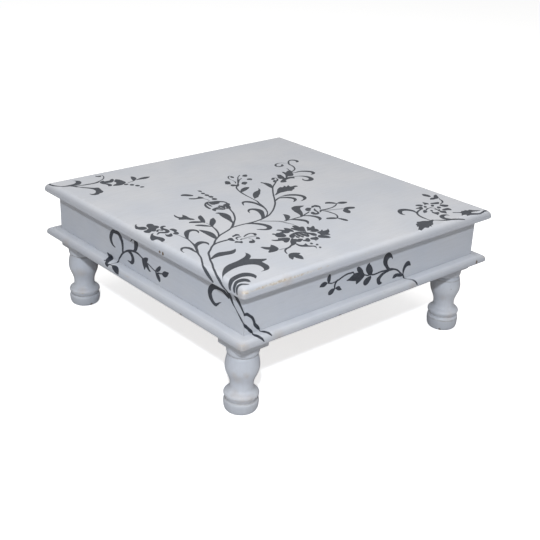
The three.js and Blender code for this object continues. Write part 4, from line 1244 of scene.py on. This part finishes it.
    "tip petal 2": [(55, -71.5), (58, -70), (62, -69.5), (66.5, -71.5), (69.5, -75), (67, -77.2), (61, -77),
        (57.5, -75)],
    "drop leaf 1": [(6.5, -102.5), (9, -101), (13, -102), (17, -104.5), (19.5, -108), (17.5, -109.8),
        (14, -109), (10, -106.5), (7, -104.5)],
    "drop leaf 2": [(18.5, -109.5), (20.5, -109), (23, -113), (24.8, -118), (24.5, -121.5), (22, -122.8),
        (20.5, -121), (19, -116)],
    "loose leaf": [(50, -89), (47, -91.5), (43, -94), (41, -98.5), (41.5, -103.5), (44, -105.5),
        (47.5, -103), (50, -99), (50.5, -95.5), (53, -94.5), (57, -96), (61, -96.5), (64, -93.5), (62, -91),
        (58, -88.8), (54, -88)],
    "left sprig seed": [(-134, 183), (-132.5, 186), (-131, 183.5), (-128, 183.5), (-126, 182), (-129, 178.5),
        (-132, 180)],
    "left tulip petal 1": [(-141.2, 157.9), (-138, 160.2), (-132.7, 159.8), (-127.7, 159.7), (-123.5, 163),
        (-120.5, 162.6), (-122, 158.3), (-125.7, 153.5), (-129.6, 151.3), (-134.4, 152.1), (-138.6, 154.2)],
    "left tulip petal 2": [(-141.1, 156.7), (-138.2, 153.9), (-135.3, 149.5), (-133.9, 144.6),
        (-135.4, 140.9), (-139, 139.7), (-141.1, 141.2), (-139.2, 145.4), (-140.2, 149.7)],
    "left tulip petal 3": [(-124.9, 152.9), (-118.8, 159.4), (-115.6, 155.2), (-114.4, 148.2),
        (-114.5, 141.8), (-119.8, 137.4), (-125.9, 135.6), (-131.3, 136.9), (-135.4, 138.9), (-132.1, 142.2),
        (-128.5, 143.3), (-125.7, 147)],
    "left sprig bold leaf": [(-176, 163), (-170.2, 157.1), (-163.5, 150.2), (-158.5, 145.6), (-154.3, 143.5),
        (-154.4, 138.9), (-155.6, 133.5), (-156.8, 127.1), (-160.8, 124.2), (-163.7, 123.8), (-167, 121.6),
        (-171.2, 121.5), (-175.2, 124.2), (-175.1, 130.2), (-173.2, 127), (-169.3, 127.3), (-165.2, 131),
        (-162.8, 137), (-163.4, 142.7), (-166.8, 148.6), (-171.6, 154.6)],
    "left sprig curl": [(-166.9, 185.4), (-164.4, 182.9), (-162.1, 179), (-160.9, 174.9), (-162.6, 170.5),
        (-166.8, 166.9), (-171.3, 166.9), (-177.4, 167.1), (-183.2, 168.3), (-189.3, 172), (-188.5, 173.5),
        (-181.2, 170.8), (-173.6, 171.6), (-168.4, 174.4), (-165.7, 178.2), (-165.1, 182.2)],
    "left sprig leaf": [(-103.5, 141), (-102, 147), (-99.5, 153), (-97, 157.5), (-95, 157), (-93.5, 152),
        (-94.5, 147.5), (-98.5, 143.5), (-101.5, 141)],
    "right jagged leaf": [(70, -190.5), (72, -194), (77, -192.5), (82, -191), (84.5, -193), (87, -193),
        (90, -191), (91.5, -192.8), (94, -190.5), (98, -189.5), (101, -187), (104, -184), (107.5, -181.8),
        (110.5, -180.5), (110, -178.5), (106, -178.5), (102, -178), (98, -175.5), (94, -174.3), (90, -173.5),
        (88.5, -172.5), (86, -174.5), (85, -176.5), (82.5, -176.5), (80, -179), (78.5, -181.5), (76, -183.5),
        (78, -184.5), (75, -187)],
    "right petal 1": [(122, -141.5), (125, -140.3), (129, -140.5), (133, -139.5), (134.5, -140.5),
        (132, -144.5), (129, -147.5), (127.5, -148), (126, -144.5)],
    "right petal 2": [(130, -134.5), (133, -132.3), (135, -132.5), (138, -134), (139.5, -137), (137.5, -140),
        (133.5, -138.5)],
    "right petal 3": [(142, -139), (145, -134.5), (148, -129.5), (149.5, -134), (150.5, -137),
        (148.5, -140.5), (145.5, -138.5)],
    "right petal 4": [(151, -140.5), (154, -138.5), (158, -139.5), (163, -140.5), (165.5, -141.5),
        (164, -144), (160, -146), (156, -144.5)],
    "right petal 5": [(156.5, -150), (159.5, -149.5), (163, -151), (167, -155.5), (165, -158), (161.5, -159),
        (157.5, -157.5), (156.5, -154)],
    "right petal 6": [(150, -162.5), (154, -161.5), (158.5, -163), (158, -168), (155.5, -170.5),
        (151.5, -167.5), (148, -166.5), (146.5, -163.5)],
    "right petal 7": [(138.5, -166), (141, -164), (144.5, -165.5), (146.5, -166), (146.5, -169),
        (143.5, -172.5), (141, -175), (140, -172), (138, -169)],
    "right petal 8": [(128, -164), (129, -161), (131, -160), (132.5, -163.5), (136.5, -165), (135.5, -168),
        (132, -170), (127.5, -172.5), (128, -168.5)],
    "right petal 9": [(119, -157.5), (121.5, -154), (125, -151), (128.5, -150.5), (128, -154), (126, -157),
        (122.5, -158)],
    "right inner petal 1": [(134.5, -145), (136.5, -142), (139, -140.5), (140.5, -142.5), (138.5, -145.5),
        (136, -146.5)],
    "right inner petal 2": [(145, -147.5), (147, -144.5), (150.5, -143), (152, -145.5), (149, -148),
        (147, -149)],
    "right inner petal 3": [(146, -157), (148.5, -153), (151, -151.5), (153.5, -154), (151.5, -157.5),
        (148, -157.5)],
    "right inner petal 4": [(131, -160), (132, -156.5), (134.5, -154.5), (136, -156.5), (133.5, -159.5)],
    "right inner petal 5": [(139, -162.5), (141.5, -160), (146, -159.5), (144, -162.5), (141, -164)],
    "right sprig leaf 1": [(163.5, -129.5), (167, -126.5), (171, -126), (174, -126.5), (178, -123),
        (182, -121), (185.5, -121), (183, -125), (180, -129.5), (177, -132), (172, -132), (167, -131.5)],
    "right sprig leaf 2": [(170.5, -110), (172.5, -109.5), (175, -113), (175.5, -118), (173.5, -122.5),
        (171, -122.5), (168.5, -118), (168, -113.5)],
    "right notched leaf": [(149, -177.5), (151, -176.2), (155, -179), (160, -181.5), (163, -179.8),
        (166, -181), (169.5, -180), (171.5, -183), (175.5, -182), (178, -186), (183, -190), (186, -192),
        (180, -191.5), (175, -190), (170, -189.5), (168, -191.5), (172, -194), (166, -193.5), (160, -194.3),
        (156.5, -194), (158.5, -191), (155, -190), (151, -190), (154.5, -187), (157.5, -184.5),
        (155, -181.5), (151, -179)],
}
# Round dabs as (x, y, length across x, length across y)
top_dabs = [
    (-60, 27, 7, 7), (-58.5, 36, 6, 7), (-59, 43.5, 5.4, 7), (-59, 51.5, 5, 5.6), (-57, 60.5, 4, 6),
    (-118.5, 134.5, 6, 5), (-113.5, 129, 6, 6), (-109.5, 122.5, 6, 6), (-107.5, 115, 6, 4.5),
]
# Bare lines left between the brush marks
top_gaps = {
    "bud light 1": [(-77, 1.5, 0.5), (-75.8, -2, 0.9), (-75, -6, 0.5)],
    "bud light 2": [(-72, 2.5, 0.5), (-72.3, -3, 0.9), (-72, -9, 0.5)],
    "fan light 1": [(-58.5, -128, 0.5), (-59, -123, 0.9), (-57.5, -118, 0.4)],
    "fan light 2": [(-54, -129, 0.5), (-53.5, -123, 0.9), (-53, -118, 0.4)],
    "fan light 3": [(-47.5, -127, 0.5), (-48, -122, 0.9), (-49, -118, 0.4)],
    "tulip light": [(-127.5, 150.5, 0.8), (-126, 149.5, 1.6), (-124.5, 148.5, 0.8)],
}
# The aprons' strokes and outlines as (along the side, height), for the left and the front side
left_apron_strokes = {
    "stem": [(155, 144, 3), (160, 140.5, 4), (164, 136.5, 4), (167, 132, 2.5), (171, 128.5, 1.2),
        (176, 124, 1.5), (180, 120.5, 2.2), (184, 117, 1.8), (186, 115.5, 1.5)],
    "second stem": [(169, 143, 3), (175, 138.5, 4.5), (180, 133.5, 3), (185, 128, 2)],
    "hook": [(160, 136, 3), (155, 138.5, 4), (150, 140.5, 4.5), (143, 140.8, 5), (136, 139.5, 6),
        (131, 136, 7), (128.5, 130.5, 7), (130, 125, 6.5), (134, 121, 5), (138.5, 119.5, 4),
        (142, 121.5, 2.5), (145, 124, 1.5), (148, 125.8, 0.5)],
    "sprig hook": [(-40, 117.5, 3), (-39.5, 124, 4), (-40.5, 131, 5.5), (-44, 136, 6), (-49, 139.3, 5),
        (-54.5, 138.8, 4.5), (-60, 138, 5), (-64, 133, 6), (-65.5, 127.5, 6), (-63.5, 122.5, 4.5),
        (-60, 119.8, 2.5), (-56, 118.8, 1)],
    "sprig stem": [(-49.5, 103, 2), (-48.5, 106, 2), (-45, 110.5, 2.5), (-41, 115.5, 2.5), (-36, 119.5, 2.2),
        (-30, 123, 2.5), (-24, 125.5, 2.5), (-16, 127.3, 2.5), (-8, 127.5, 2.5), (-2, 126, 2),
        (3, 124.5, 2)],
    "sprig curl": [(-27, 123.5, 3), (-22, 122.5, 5), (-18.5, 118.5, 6), (-18.5, 114, 6), (-21.5, 111, 4),
        (-26, 111, 1.8), (-29, 111, 1)],
    "twig": [(13, 122, 1.5), (19, 120, 1.5), (25, 118.3, 1.5), (27.5, 118, 1.5)],
    "twig end": [(33, 117.5, 2), (38, 118.5, 1.5), (41, 119.5, 1.5)],
}
left_apron_shapes = {
    "sprig loop": [(-19, 127.5), (-15.5, 130), (-15, 134), (-15, 139), (-15.5, 141), (-18, 141),
        (-20.5, 138.5), (-23, 137), (-21.5, 139.5), (-18.5, 142.5), (-14, 142.5), (-8.5, 143), (-6.5, 139),
        (-7.5, 134.5), (-9.5, 130.5), (-13, 128)],
    "flower": [(0.5, 124.5), (3.5, 125.5), (8, 128), (13, 129), (13.5, 127), (11.5, 123), (13.5, 120),
        (16, 116), (19, 114), (16, 113), (12, 114.5), (8.5, 116.5), (7.5, 113.5), (5.5, 111.5), (4, 114),
        (2, 118), (1, 121.5)],
    "leaf 1": [(27, 118), (29.5, 121.5), (33, 125), (37, 127.8), (39, 126.5), (37.5, 122.5), (34, 119.5),
        (31.5, 118)],
    "leaf 2": [(27, 117.5), (29, 113), (32, 109.5), (35.5, 107), (37.5, 109), (37, 113), (34.5, 116),
        (31, 117.5)],
    "leaf 3": [(40.5, 119), (43, 117), (46.5, 117), (50, 119), (52.5, 122), (54, 125.5), (50, 125),
        (46, 124.5), (43, 122.5)],
    "foot of ledge leaf": [(-74, 102.6), (-73.5, 104), (-75.5, 104.8), (-74, 106.2), (-70, 105.8),
        (-65, 106), (-62, 104.3), (-61, 102.6)],
}
front_apron_strokes = {
    "corner stem": [(-186, 126.5, 3), (-183, 126.5, 3.5), (-179.5, 124, 3), (-175, 120, 3), (-172.5, 115, 3),
        (-171.5, 111.5, 3.5), (-168.5, 108, 4), (-166, 105, 3), (-165, 103.5, 1.5)],
    "second corner stem": [(-186, 115, 3), (-184, 113, 3.5), (-181, 110, 3), (-178, 106.5, 3.5),
        (-175.5, 104, 3), (-174.5, 103, 1.5)],
    "sprig stem": [(59, 103, 2), (57, 106.5, 2.5), (54, 108.5, 3), (50, 112.5, 2), (46, 116, 2),
        (40, 118.8, 2), (34, 120, 3.5), (27, 120.5, 2.5), (18, 121.5, 2), (8, 121, 2), (3, 121.5, 2),
        (0, 123, 2.5), (-4, 122.5, 1.8), (-9, 124.2, 1.5), (-11, 125, 2)],
    "sprig end": [(-28, 131, 1.5), (-29.5, 132.8, 2), (-33, 133, 2), (-38, 133.3, 2), (-43, 132.5, 2),
        (-48, 131, 2), (-52, 129.7, 2), (-56, 128.8, 1.5), (-60, 128.5, 1.2), (-62, 128.3, 1.5),
        (-66, 129.5, 1.5), (-68, 130, 1.5)],
    "drop": [(-54, 129.5, 2.5), (-56, 127.5, 2.5), (-57.5, 124, 2.5), (-57, 121, 1.5)],
}
front_apron_shapes = {
    "loop": [(33, 121.5), (29.5, 125), (27.5, 129), (27, 132), (28.5, 134.5), (31, 135.5), (33.5, 134.8),
        (35.5, 132.3), (35.8, 134), (34, 138), (31, 141.5), (27, 143), (22.5, 141.5), (19.8, 137),
        (19.5, 132.5), (21, 129), (24, 125.5), (27.5, 121.5)],
    "lower loop": [(31, 118), (25, 117.3), (20, 115), (17.3, 112), (17.5, 109.5), (19.5, 108), (21, 106.2),
        (18.5, 105.3), (15, 105.5), (12, 109), (11, 113), (11.5, 115), (14, 116.5), (18, 119), (23, 120),
        (30, 120.5)],
    "leaf 1": [(39, 109), (38, 107.5), (42, 106.8), (46, 107.5), (50, 106.5), (54, 105.8), (57, 106.5),
        (54, 108.5), (50, 110.8), (46, 112), (42, 112), (40, 111)],
    "leaf 2": [(57.5, 106), (55.8, 110), (55.3, 114), (56.5, 118), (59, 121.5), (62.5, 123.3), (66, 122.5),
        (68.5, 119), (69.5, 116), (67, 116.5), (63.5, 116.8), (61, 115.5), (58.8, 112), (57.8, 108.5)],
    "petal 1": [(1.5, 122), (3.2, 126), (2, 130), (-0.5, 134), (-2.5, 136), (-3.5, 138), (-6, 137),
        (-8, 134.5), (-8.8, 130.5), (-7, 127), (-4, 123.5), (-1, 122)],
    "petal 2": [(0.5, 121.5), (1.5, 118.5), (-0.5, 114.5), (-4, 111.5), (-8, 110.8), (-11, 113.5),
        (-11, 117), (-8, 119.5), (-4, 120.5), (-1, 121)],
    "tulip": [(-9.5, 124.5), (-12, 128), (-14.5, 132.5), (-18, 136), (-22, 137.8), (-24, 136.5), (-23, 133),
        (-21, 130.5), (-25, 131), (-28, 130.8), (-31, 129), (-34, 127.5), (-37, 126.3), (-39.5, 125.8),
        (-38.5, 124.8), (-35, 124), (-31, 122.7), (-27, 121.5), (-24, 120.8), (-23.5, 117.5), (-22.5, 116.3),
        (-18, 118), (-14.5, 120), (-11.5, 122)],
    "leaf 3": [(-56, 120.5), (-58, 121.3), (-62, 121.5), (-65, 120.3), (-67, 118), (-66.5, 115.5),
        (-64, 114.5), (-60.5, 115), (-58, 117.5)],
    "leaf 4": [(-56.5, 120.8), (-54.5, 121.8), (-51.5, 122.2), (-49.5, 121.3), (-47.5, 118.5),
        (-45.5, 116.3), (-48, 116), (-51.5, 116.8), (-54, 118.5)],
    "leaf 5": [(-68, 130.5), (-69.5, 133), (-69.8, 136.5), (-68.5, 139), (-66.5, 140.5), (-65, 139.5),
        (-64.3, 136), (-64.8, 132), (-66, 130.3)],
    "leaf 6": [(-68.5, 130.5), (-72, 132.8), (-76, 133), (-79.5, 131), (-81, 128.5), (-78, 127.8),
        (-73.5, 127.2), (-70.5, 128.7)],
}
# The moulding's strokes and outlines as (along the side, place across), as seen from that side
left_ledge_strokes = {
    "stem": [(-50.5, -186, 2.5), (-48.5, -188, 2), (-48.5, -190, 2, 0.5), (-49.5, -197, 2, 0.5)],
}
left_ledge_shapes = {
    "big leaf": [(-72, -186), (-68, -189), (-66, -192), (-63.5, -195.5), (-65.5, -196.5), (-63.5, -197.5),
        (-61.5, -196), (-59, -200), (-55, -201.5), (-52, -202), (-51.5, -200), (-50.5, -198.5), (-46, -198),
        (-43, -200), (-35, -203), (-29, -204.5), (-28, -202), (-29.5, -199), (-34, -196), (-40, -194.5),
        (-44.5, -195.5), (-47, -197), (-51, -197), (-54.5, -198.5), (-55.5, -196), (-57, -192), (-59, -188),
        (-61.5, -186)],
}
front_ledge_strokes = {
    "comma 1": [(-165, -186.3, 1.5), (-165, -188, 2), (-163, -190.5, 4), (-161, -195, 3.5),
        (-159, -199.5, 1.5)],
    "comma 2": [(-174.5, -186.3, 1.5), (-175.5, -188, 2), (-175, -192, 4.5), (-174, -196, 4),
        (-171.5, -200, 2.5), (-170, -203, 1)],
    "tail": [(59.5, -186.5, 2), (60, -189, 2, 0.5), (62.5, -193, 3.5, 0.6), (65, -197, 2.5), (67, -201, 2),
        (68.5, -204.5, 1.8)],
}

bare_ground = srgb(198, 201, 206)
# The vine's paint in two copies: painted light makes it lighter on the top, painted shade darker on the
# sides
charcoal_painted_lighter_on_top = srgb(60, 64, 71)
charcoal_painted_darker_on_sides = srgb(34, 39, 50)


def thin_paint(name, tint):
    # Dark grey paint, thinned so that the wash strokes let the ground through
    ink, tree, place = new_finish(name)
    body = mottle(tree, place, 150, 4, Roughness=0.65)
    hairs = mottle(tree, place, 900, 2)
    strength = add_node(tree, "Attribute", attribute_name="strength").outputs["Fac"]
    cover = calculate(tree, "SUBTRACT", strength, map_value(tree, body, 0.4, 0.75, 0, 0.06), True)
    cover = calculate(tree, "SUBTRACT", cover, map_value(tree, hairs, 0.55, 0.75, 0, 0.05), True)
    colour = blend_colours(tree, cover, bare_ground, tint)
    feed_shader(tree, colour, map_value(tree, body, 0.3, 0.7, 0.42, 0.56), hairs, 0.3, 0.15 * mm)
    return ink


def turned_left(face):
    # The face with its corners in anticlockwise order
    area = sum(a[0] * b[1] - a[1] * b[0] for a, b in zip(face, face[1:] + face[:1]))
    return face if area > 0 else face[::-1]


def is_convex(face):
    # True where every corner of the face turns the same way
    ways = [b - a for a, b in zip(face, face[1:] + face[:1])]
    turns = [a[0] * b[1] - a[1] * b[0] for a, b in zip(ways, ways[1:] + ways[:1])]
    return min(turns) > 0 or max(turns) < 0


def stroke_faces(points):
    # A brush stroke as (small faces from side to side, strength), with a round end at both ends
    line = smooth_line([tuple(p) + (1,) * (4 - len(p)) for p in points], stroke_step)
    ways = [line[1] - line[0]] + [b - a for a, b in zip(line, line[2:])] + [line[-1] - line[-2]]
    edges = []
    for spot, way in zip(line, ways):
        heading = way[:2] / np.linalg.norm(way[:2])
        across = np.array((-heading[1], heading[0])) * max(spot[2], least_width) / 2
        edges.append((spot[:2] + across, spot[:2] - across, heading))
    made = []
    for (left, right, _), (next_left, next_right, _), spot in zip(edges, edges[1:], line):
        step = [(left, right, next_right, next_left)]
        if not is_convex(step[0]):
            step = [(left, right, next_right), (left, next_right, next_left)]
        made += [(turned_left([tuple(p) for p in face]), spot[3]) for face in step]
    for (left, right, heading), away, spot in ((edges[0], -1, line[0]), (edges[-1], 1, line[-1])):
        middle, reach = (left + right) / 2, np.linalg.norm(left - right) / 2
        arc = []
        for k in range(round_end_steps + 1):
            angle = math.pi * k / round_end_steps
            out = heading * away * reach * math.sin(angle)
            arc.append(middle + (left - middle) * math.cos(angle) + out)
        made.append((turned_left([tuple(p) for p in arc]), spot[3]))
    return made


def shape_faces(points):
    # A closed outline, smooth but for its sharp tips and notches, as (triangles, full strength)
    points = [np.array(p, float) for p in points]
    count = len(points)
    sharp = []
    for k in range(count):
        first, second = points[k] - points[k - 1], points[(k + 1) % count] - points[k]
        turn = math.atan2(first[0] * second[1] - first[1] * second[0], first @ second)
        sharp.append(abs(math.degrees(turn)) > sharp_turn)
    outline = []
    for k in range(count):
        start, end = points[k], points[(k + 1) % count]
        before = 2 * start - end if sharp[k] else points[k - 1]
        after = 2 * end - start if sharp[(k + 1) % count] else points[(k + 2) % count]
        outline += bend(before, start, end, after, shape_step)
    flat = [Vector((*p, 0)) for p in outline]
    triangles = tessellate_polygon([flat])
    return [(turned_left([tuple(outline[k]) for k in triangle]), 1.0) for triangle in triangles]


def dab_face(x, y, across, up):
    # A round dab as (its outline, full strength)
    angles = [k * math.pi / 8 for k in range(16)]
    return [(x + across / 2 * math.cos(angle), y + up / 2 * math.sin(angle)) for angle in angles], 1.0


def wide_enough(face):
    # True where the face isn't a sliver that its union would lose
    reach = max(math.dist(a, b) for a in face for b in face)
    area = sum(a[0] * b[1] - a[1] * b[0] for a, b in zip(face, face[1:] + face[:1])) / 2
    return reach > 0 and area / reach > sliver_width


def brush_marks(strokes, shapes, dabs=(), gaps=()):
    # The faces of all the brush marks with their strengths, and then those of the bare lines, at 0
    faces = [face for points in strokes.values() for face in stroke_faces(points)]
    faces += [face for points in shapes.values() for face in shape_faces(points)]
    faces += [dab_face(*dab) for dab in dabs]
    faces += [(face, 0.0) for points in gaps for face, _ in stroke_faces(points)]
    return [face for face in faces if wide_enough(face[0])]


def inside(face, spots):
    # Which of the spots lie in the face
    held = np.ones(len(spots), bool)
    for a, b in zip(face, face[1:] + face[:1]):
        held &= (b[0] - a[0]) * (spots[:, 1] - a[1]) >= (b[1] - a[1]) * (spots[:, 0] - a[0])
    return held


def fine_points(faces, beyond):
    # Extra points where brush marks run over a rounded edge, so that the film can bend there
    found = set()
    for face, _ in faces:
        spots = np.array(face) / edge_step
        if abs(spots).max() * edge_step > beyond:
            left, low = np.floor(spots.min(0)).astype(int)
            right, high = np.ceil(spots.max(0)).astype(int)
            grid = np.array([(i, j) for i in range(left, right + 1) for j in range(low, high + 1)])
            found |= {tuple(p) for p in grid[inside(face, grid * edge_step)]}
    return [(i * edge_step, j * edge_step) for i, j in sorted(found)]


def cut_edge(start, end, beyond):
    # The ends of an edge, with further points between them where it runs over a rounded edge
    bends = max(abs(c) for c in start + end) > beyond
    pieces = math.ceil(math.dist(start, end) / edge_step) if bends else 1
    along = [k / pieces for k in range(1, pieces)]
    return [start] + [tuple(a + (b - a) * share for a, b in zip(start, end)) for share in along] + [end]


def united(faces, beyond):
    # The brush marks as one flat sheet: its points, its triangles and each triangle's strength
    number, edges = {}, set()
    for face, _ in faces:
        for a, b in zip(face, face[1:] + face[:1]):
            rows = [number.setdefault(p, len(number)) for p in cut_edge(min(a, b), max(a, b), beyond)]
            edges |= set(zip(rows, rows[1:]))
    spots = [Vector(p) for p in list(number) + fine_points(faces, beyond)]
    flat, _, triangles, _, _, _ = delaunay_2d_cdt(spots, sorted(edges), [], 0, least_gap, False)
    middles = np.array([sum((flat[k] for k in triangle), Vector((0, 0))) / 3 for triangle in triangles])
    order = np.argsort(middles[:, 0])
    middles = middles[order]
    strengths = np.zeros(len(triangles))
    for face, strength in faces:
        first = np.searchsorted(middles[:, 0], min(p[0] for p in face))
        last = np.searchsorted(middles[:, 0], max(p[0] for p in face))
        near = strengths[first:last]
        covered = inside(face, middles[first:last])
        near[covered] = np.maximum(near[covered], strength) if strength else 0
    kept = [(triangles[k], strength) for k, strength in zip(order, strengths) if strength > 0]
    return flat, [triangle for triangle, _ in kept], [strength for _, strength in kept]


def paint_film(name, marks, put, finish, bends_from):
    # Unites all the brush marks of one surface and lays them on it as a thin closed film
    flat, triangles, strengths = united(marks, bends_from)
    used = sorted({k for triangle in triangles for k in triangle})
    row = {k: place for place, k in enumerate(used)}
    upper, lower = [], []
    for k in used:
        skin, out = put(flat[k].x, flat[k].y)
        upper.append(skin + out * film_rise)
        lower.append(skin - out * film_sink)
    below = len(upper)
    above = [tuple(row[k] for k in triangle) for triangle in triangles]
    under = [tuple(k + below for k in triangle[::-1]) for triangle in above]
    sides_seen = {}
    for triangle, strength in zip(above, strengths):
        for a, b in zip(triangle, triangle[1:] + triangle[:1]):
            sides_seen[(a, b)] = strength
    outer = [(a, b) for a, b in sides_seen if (b, a) not in sides_seen]
    walls = [(b, a, a + below, b + below) for a, b in outer]
    mesh = bpy.data.meshes.new(name)
    mesh.from_pydata([tuple(p) for p in upper + lower], [], above + under + walls)
    face_strengths = strengths + strengths + [sides_seen[side] for side in outer]
    mesh.attributes.new("strength", "FLOAT", "FACE").data.foreach_set("value", face_strengths)
    mesh.materials.append(finish)
    mesh.shade_smooth()
    mesh.set_sharp_from_angle(angle=sharp_edge)
    film = put_in_scene(name, mesh)
    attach(film, "root")


def put_on_top(x, y):
    point, out = on_top(x * mm, y * mm)
    return worn_top(point, out), out


def put_on_apron(turns):
    def put(along, height):
        # Paint that runs past the corner turns on to the next board
        past = max(0, abs(along) * mm - apron_outer)
        way = math.copysign(1, along)
        point = quarter_turn((along * mm - way * past, past - apron_outer, height * mm), turns)
        out = quarter_turn((way, 0, 0) if past > 0 else (0, -1, 0), turns)
        return point - out * planed(point), out

    return put


def put_on_ledge(turns):
    flat = half - base_edge_radius

    def put(along, across):
        angle = min(max(0, -across * mm - flat) / base_edge_radius, math.pi / 2)
        y = max(across * mm, -flat) - base_edge_radius * math.sin(angle)
        z = base_high.z - base_edge_radius * (1 - math.cos(angle))
        point = quarter_turn((along * mm, y, z), turns)
        out = quarter_turn((0, -math.sin(angle), math.cos(angle)), turns)
        return point - out * planed(point), out

    return put


# A lighter copy of the vine's paint for the top and a darker one for the sides, as painted light and shade
vine_paint = thin_paint("vine_paint_painted_lighter_on_top", charcoal_painted_lighter_on_top)
side_vine_paint = thin_paint("vine_paint_painted_darker_on_sides", charcoal_painted_darker_on_sides)


def paint_sides(name_stem, left, front, put_on, bends_from):
    # The hidden back and right sides carry the front's and the left side's sprigs, turned half round
    for side, marks in (("left", left), ("right", left), ("front", front), ("back", front)):
        paint_film(name_stem + side, marks, put_on(sides[side]), side_vine_paint, bends_from)


top_marks = brush_marks(top_strokes, top_shapes, top_dabs, top_gaps.values())
paint_film("painted_vine_top", top_marks, put_on_top, vine_paint, top_bends_from)
paint_sides(
    "painted_vine_apron_", brush_marks(left_apron_strokes, left_apron_shapes),
    brush_marks(front_apron_strokes, front_apron_shapes), put_on_apron, apron_bends_from,
)
paint_sides(
    "painted_vine_moulding_", brush_marks(left_ledge_strokes, left_ledge_shapes),
    brush_marks(front_ledge_strokes, {}), put_on_ledge, ledge_bends_from,
)

# Floor, light and camera
# A plain pale floor and soft studio light: a large soft box overhead, a smaller lamp above the
# camera that throws the top's shadow on the aprons, and an even white room.

white = (1, 1, 1, 1)
floor_grey = (0.55, 0.55, 0.56, 1)
floor_reach = 12
floor_glow = 0.7
room_light = 0.21
room_gloss = 0.2
lamps_aim_at = Vector((0, 0, 0.1))


def rays_to_camera(tree):
    # The kinds of ray, and 1 for those by which the camera sees a surface, straight or through glass
    rays = add_node(tree, "LightPath").outputs
    return rays, calculate(tree, "MAXIMUM", rays["Is Camera Ray"], rays["Is Transmission Ray"])


floor_mesh = bpy.data.meshes.new("studio_floor")
floor_corners = [(x * floor_reach, y * floor_reach, 0) for x, y in ((-1, -1), (1, -1), (1, 1), (-1, 1))]
floor_mesh.from_pydata(floor_corners, [], [(0, 1, 2, 3)])
floor = put_in_scene("studio_floor", floor_mesh)
floor_finish = bpy.data.materials.new("pale_floor")
floor_finish.use_nodes = True
tree = floor_finish.node_tree
_, seen = rays_to_camera(tree)
matt = add_node(tree, "BsdfDiffuse", {"Color": blend_colours(tree, seen, floor_grey, white)})
glow = add_node(tree, "Emission", {"Strength": calculate(tree, "MULTIPLY", seen, floor_glow)})
both = add_node(tree, "AddShader", {0: matt.outputs[0], 1: glow.outputs[0]})
tree.links.new(both.outputs[0], tree.nodes["Material Output"].inputs["Surface"])
floor_mesh.materials.append(floor_finish)

world = bpy.data.worlds.new("white_room")
bpy.context.scene.world = world
world.use_nodes = True
tree = world.node_tree
rays, seen = rays_to_camera(tree)
seen = calculate(tree, "MAXIMUM", seen, calculate(tree, "MULTIPLY", rays["Is Glossy Ray"], room_gloss))
room = tree.nodes["Background"].inputs
room["Color"].default_value = white
tree.links.new(map_value(tree, seen, 0, 1, room_light, 1), room["Strength"])


def square_lamp(name, place, size, power, colour):
    # A square lamp that faces the table
    light = bpy.data.lights.new(name, "AREA")
    light.shape = "SQUARE"
    light.size = size
    light.energy = power
    light.color = colour
    lamp = put_in_scene(name, light)
    lamp.location = place
    lamp.rotation_euler = (Vector(place) - lamps_aim_at).to_track_quat("Z", "Y").to_euler()


square_lamp("lamp_above_camera", (-0.97, -1.04, 1.04), 0.06, 13.8, (0.93, 0.99, 1.08))
square_lamp("soft_box_overhead", (-0.35, -0.4, 2.0), 1.6, 24.8, (1.04, 1, 0.96))

# The photograph's view, as fitted to the corners of the table's top and base
view_place = Vector((-0.73365, -0.83336, 0.55128))
view_heading = math.radians(-41.854)
view_height = math.radians(23.797)
view_roll = math.radians(2.466)
view_lens = 62.377
film_width = 36

back = Vector((
    math.sin(view_heading) * math.cos(view_height), -math.cos(view_heading) * math.cos(view_height),
    math.sin(view_height),
))
level_right = Vector((0, 0, 1)).cross(back).normalized()
level_up = back.cross(level_right)
right = level_right * math.cos(view_roll) + level_up * math.sin(view_roll)
up = level_up * math.cos(view_roll) - level_right * math.sin(view_roll)
pose = Matrix((right, up, back)).transposed().to_4x4()
pose.translation = view_place
camera_data = bpy.data.cameras.new("photograph_view")
camera_data.sensor_width = film_width
camera_data.lens = view_lens
camera = put_in_scene("photograph_view", camera_data)
camera.matrix_world = pose
bpy.context.scene.camera = camera
bpy.context.scene.view_settings.view_transform = "Standard"
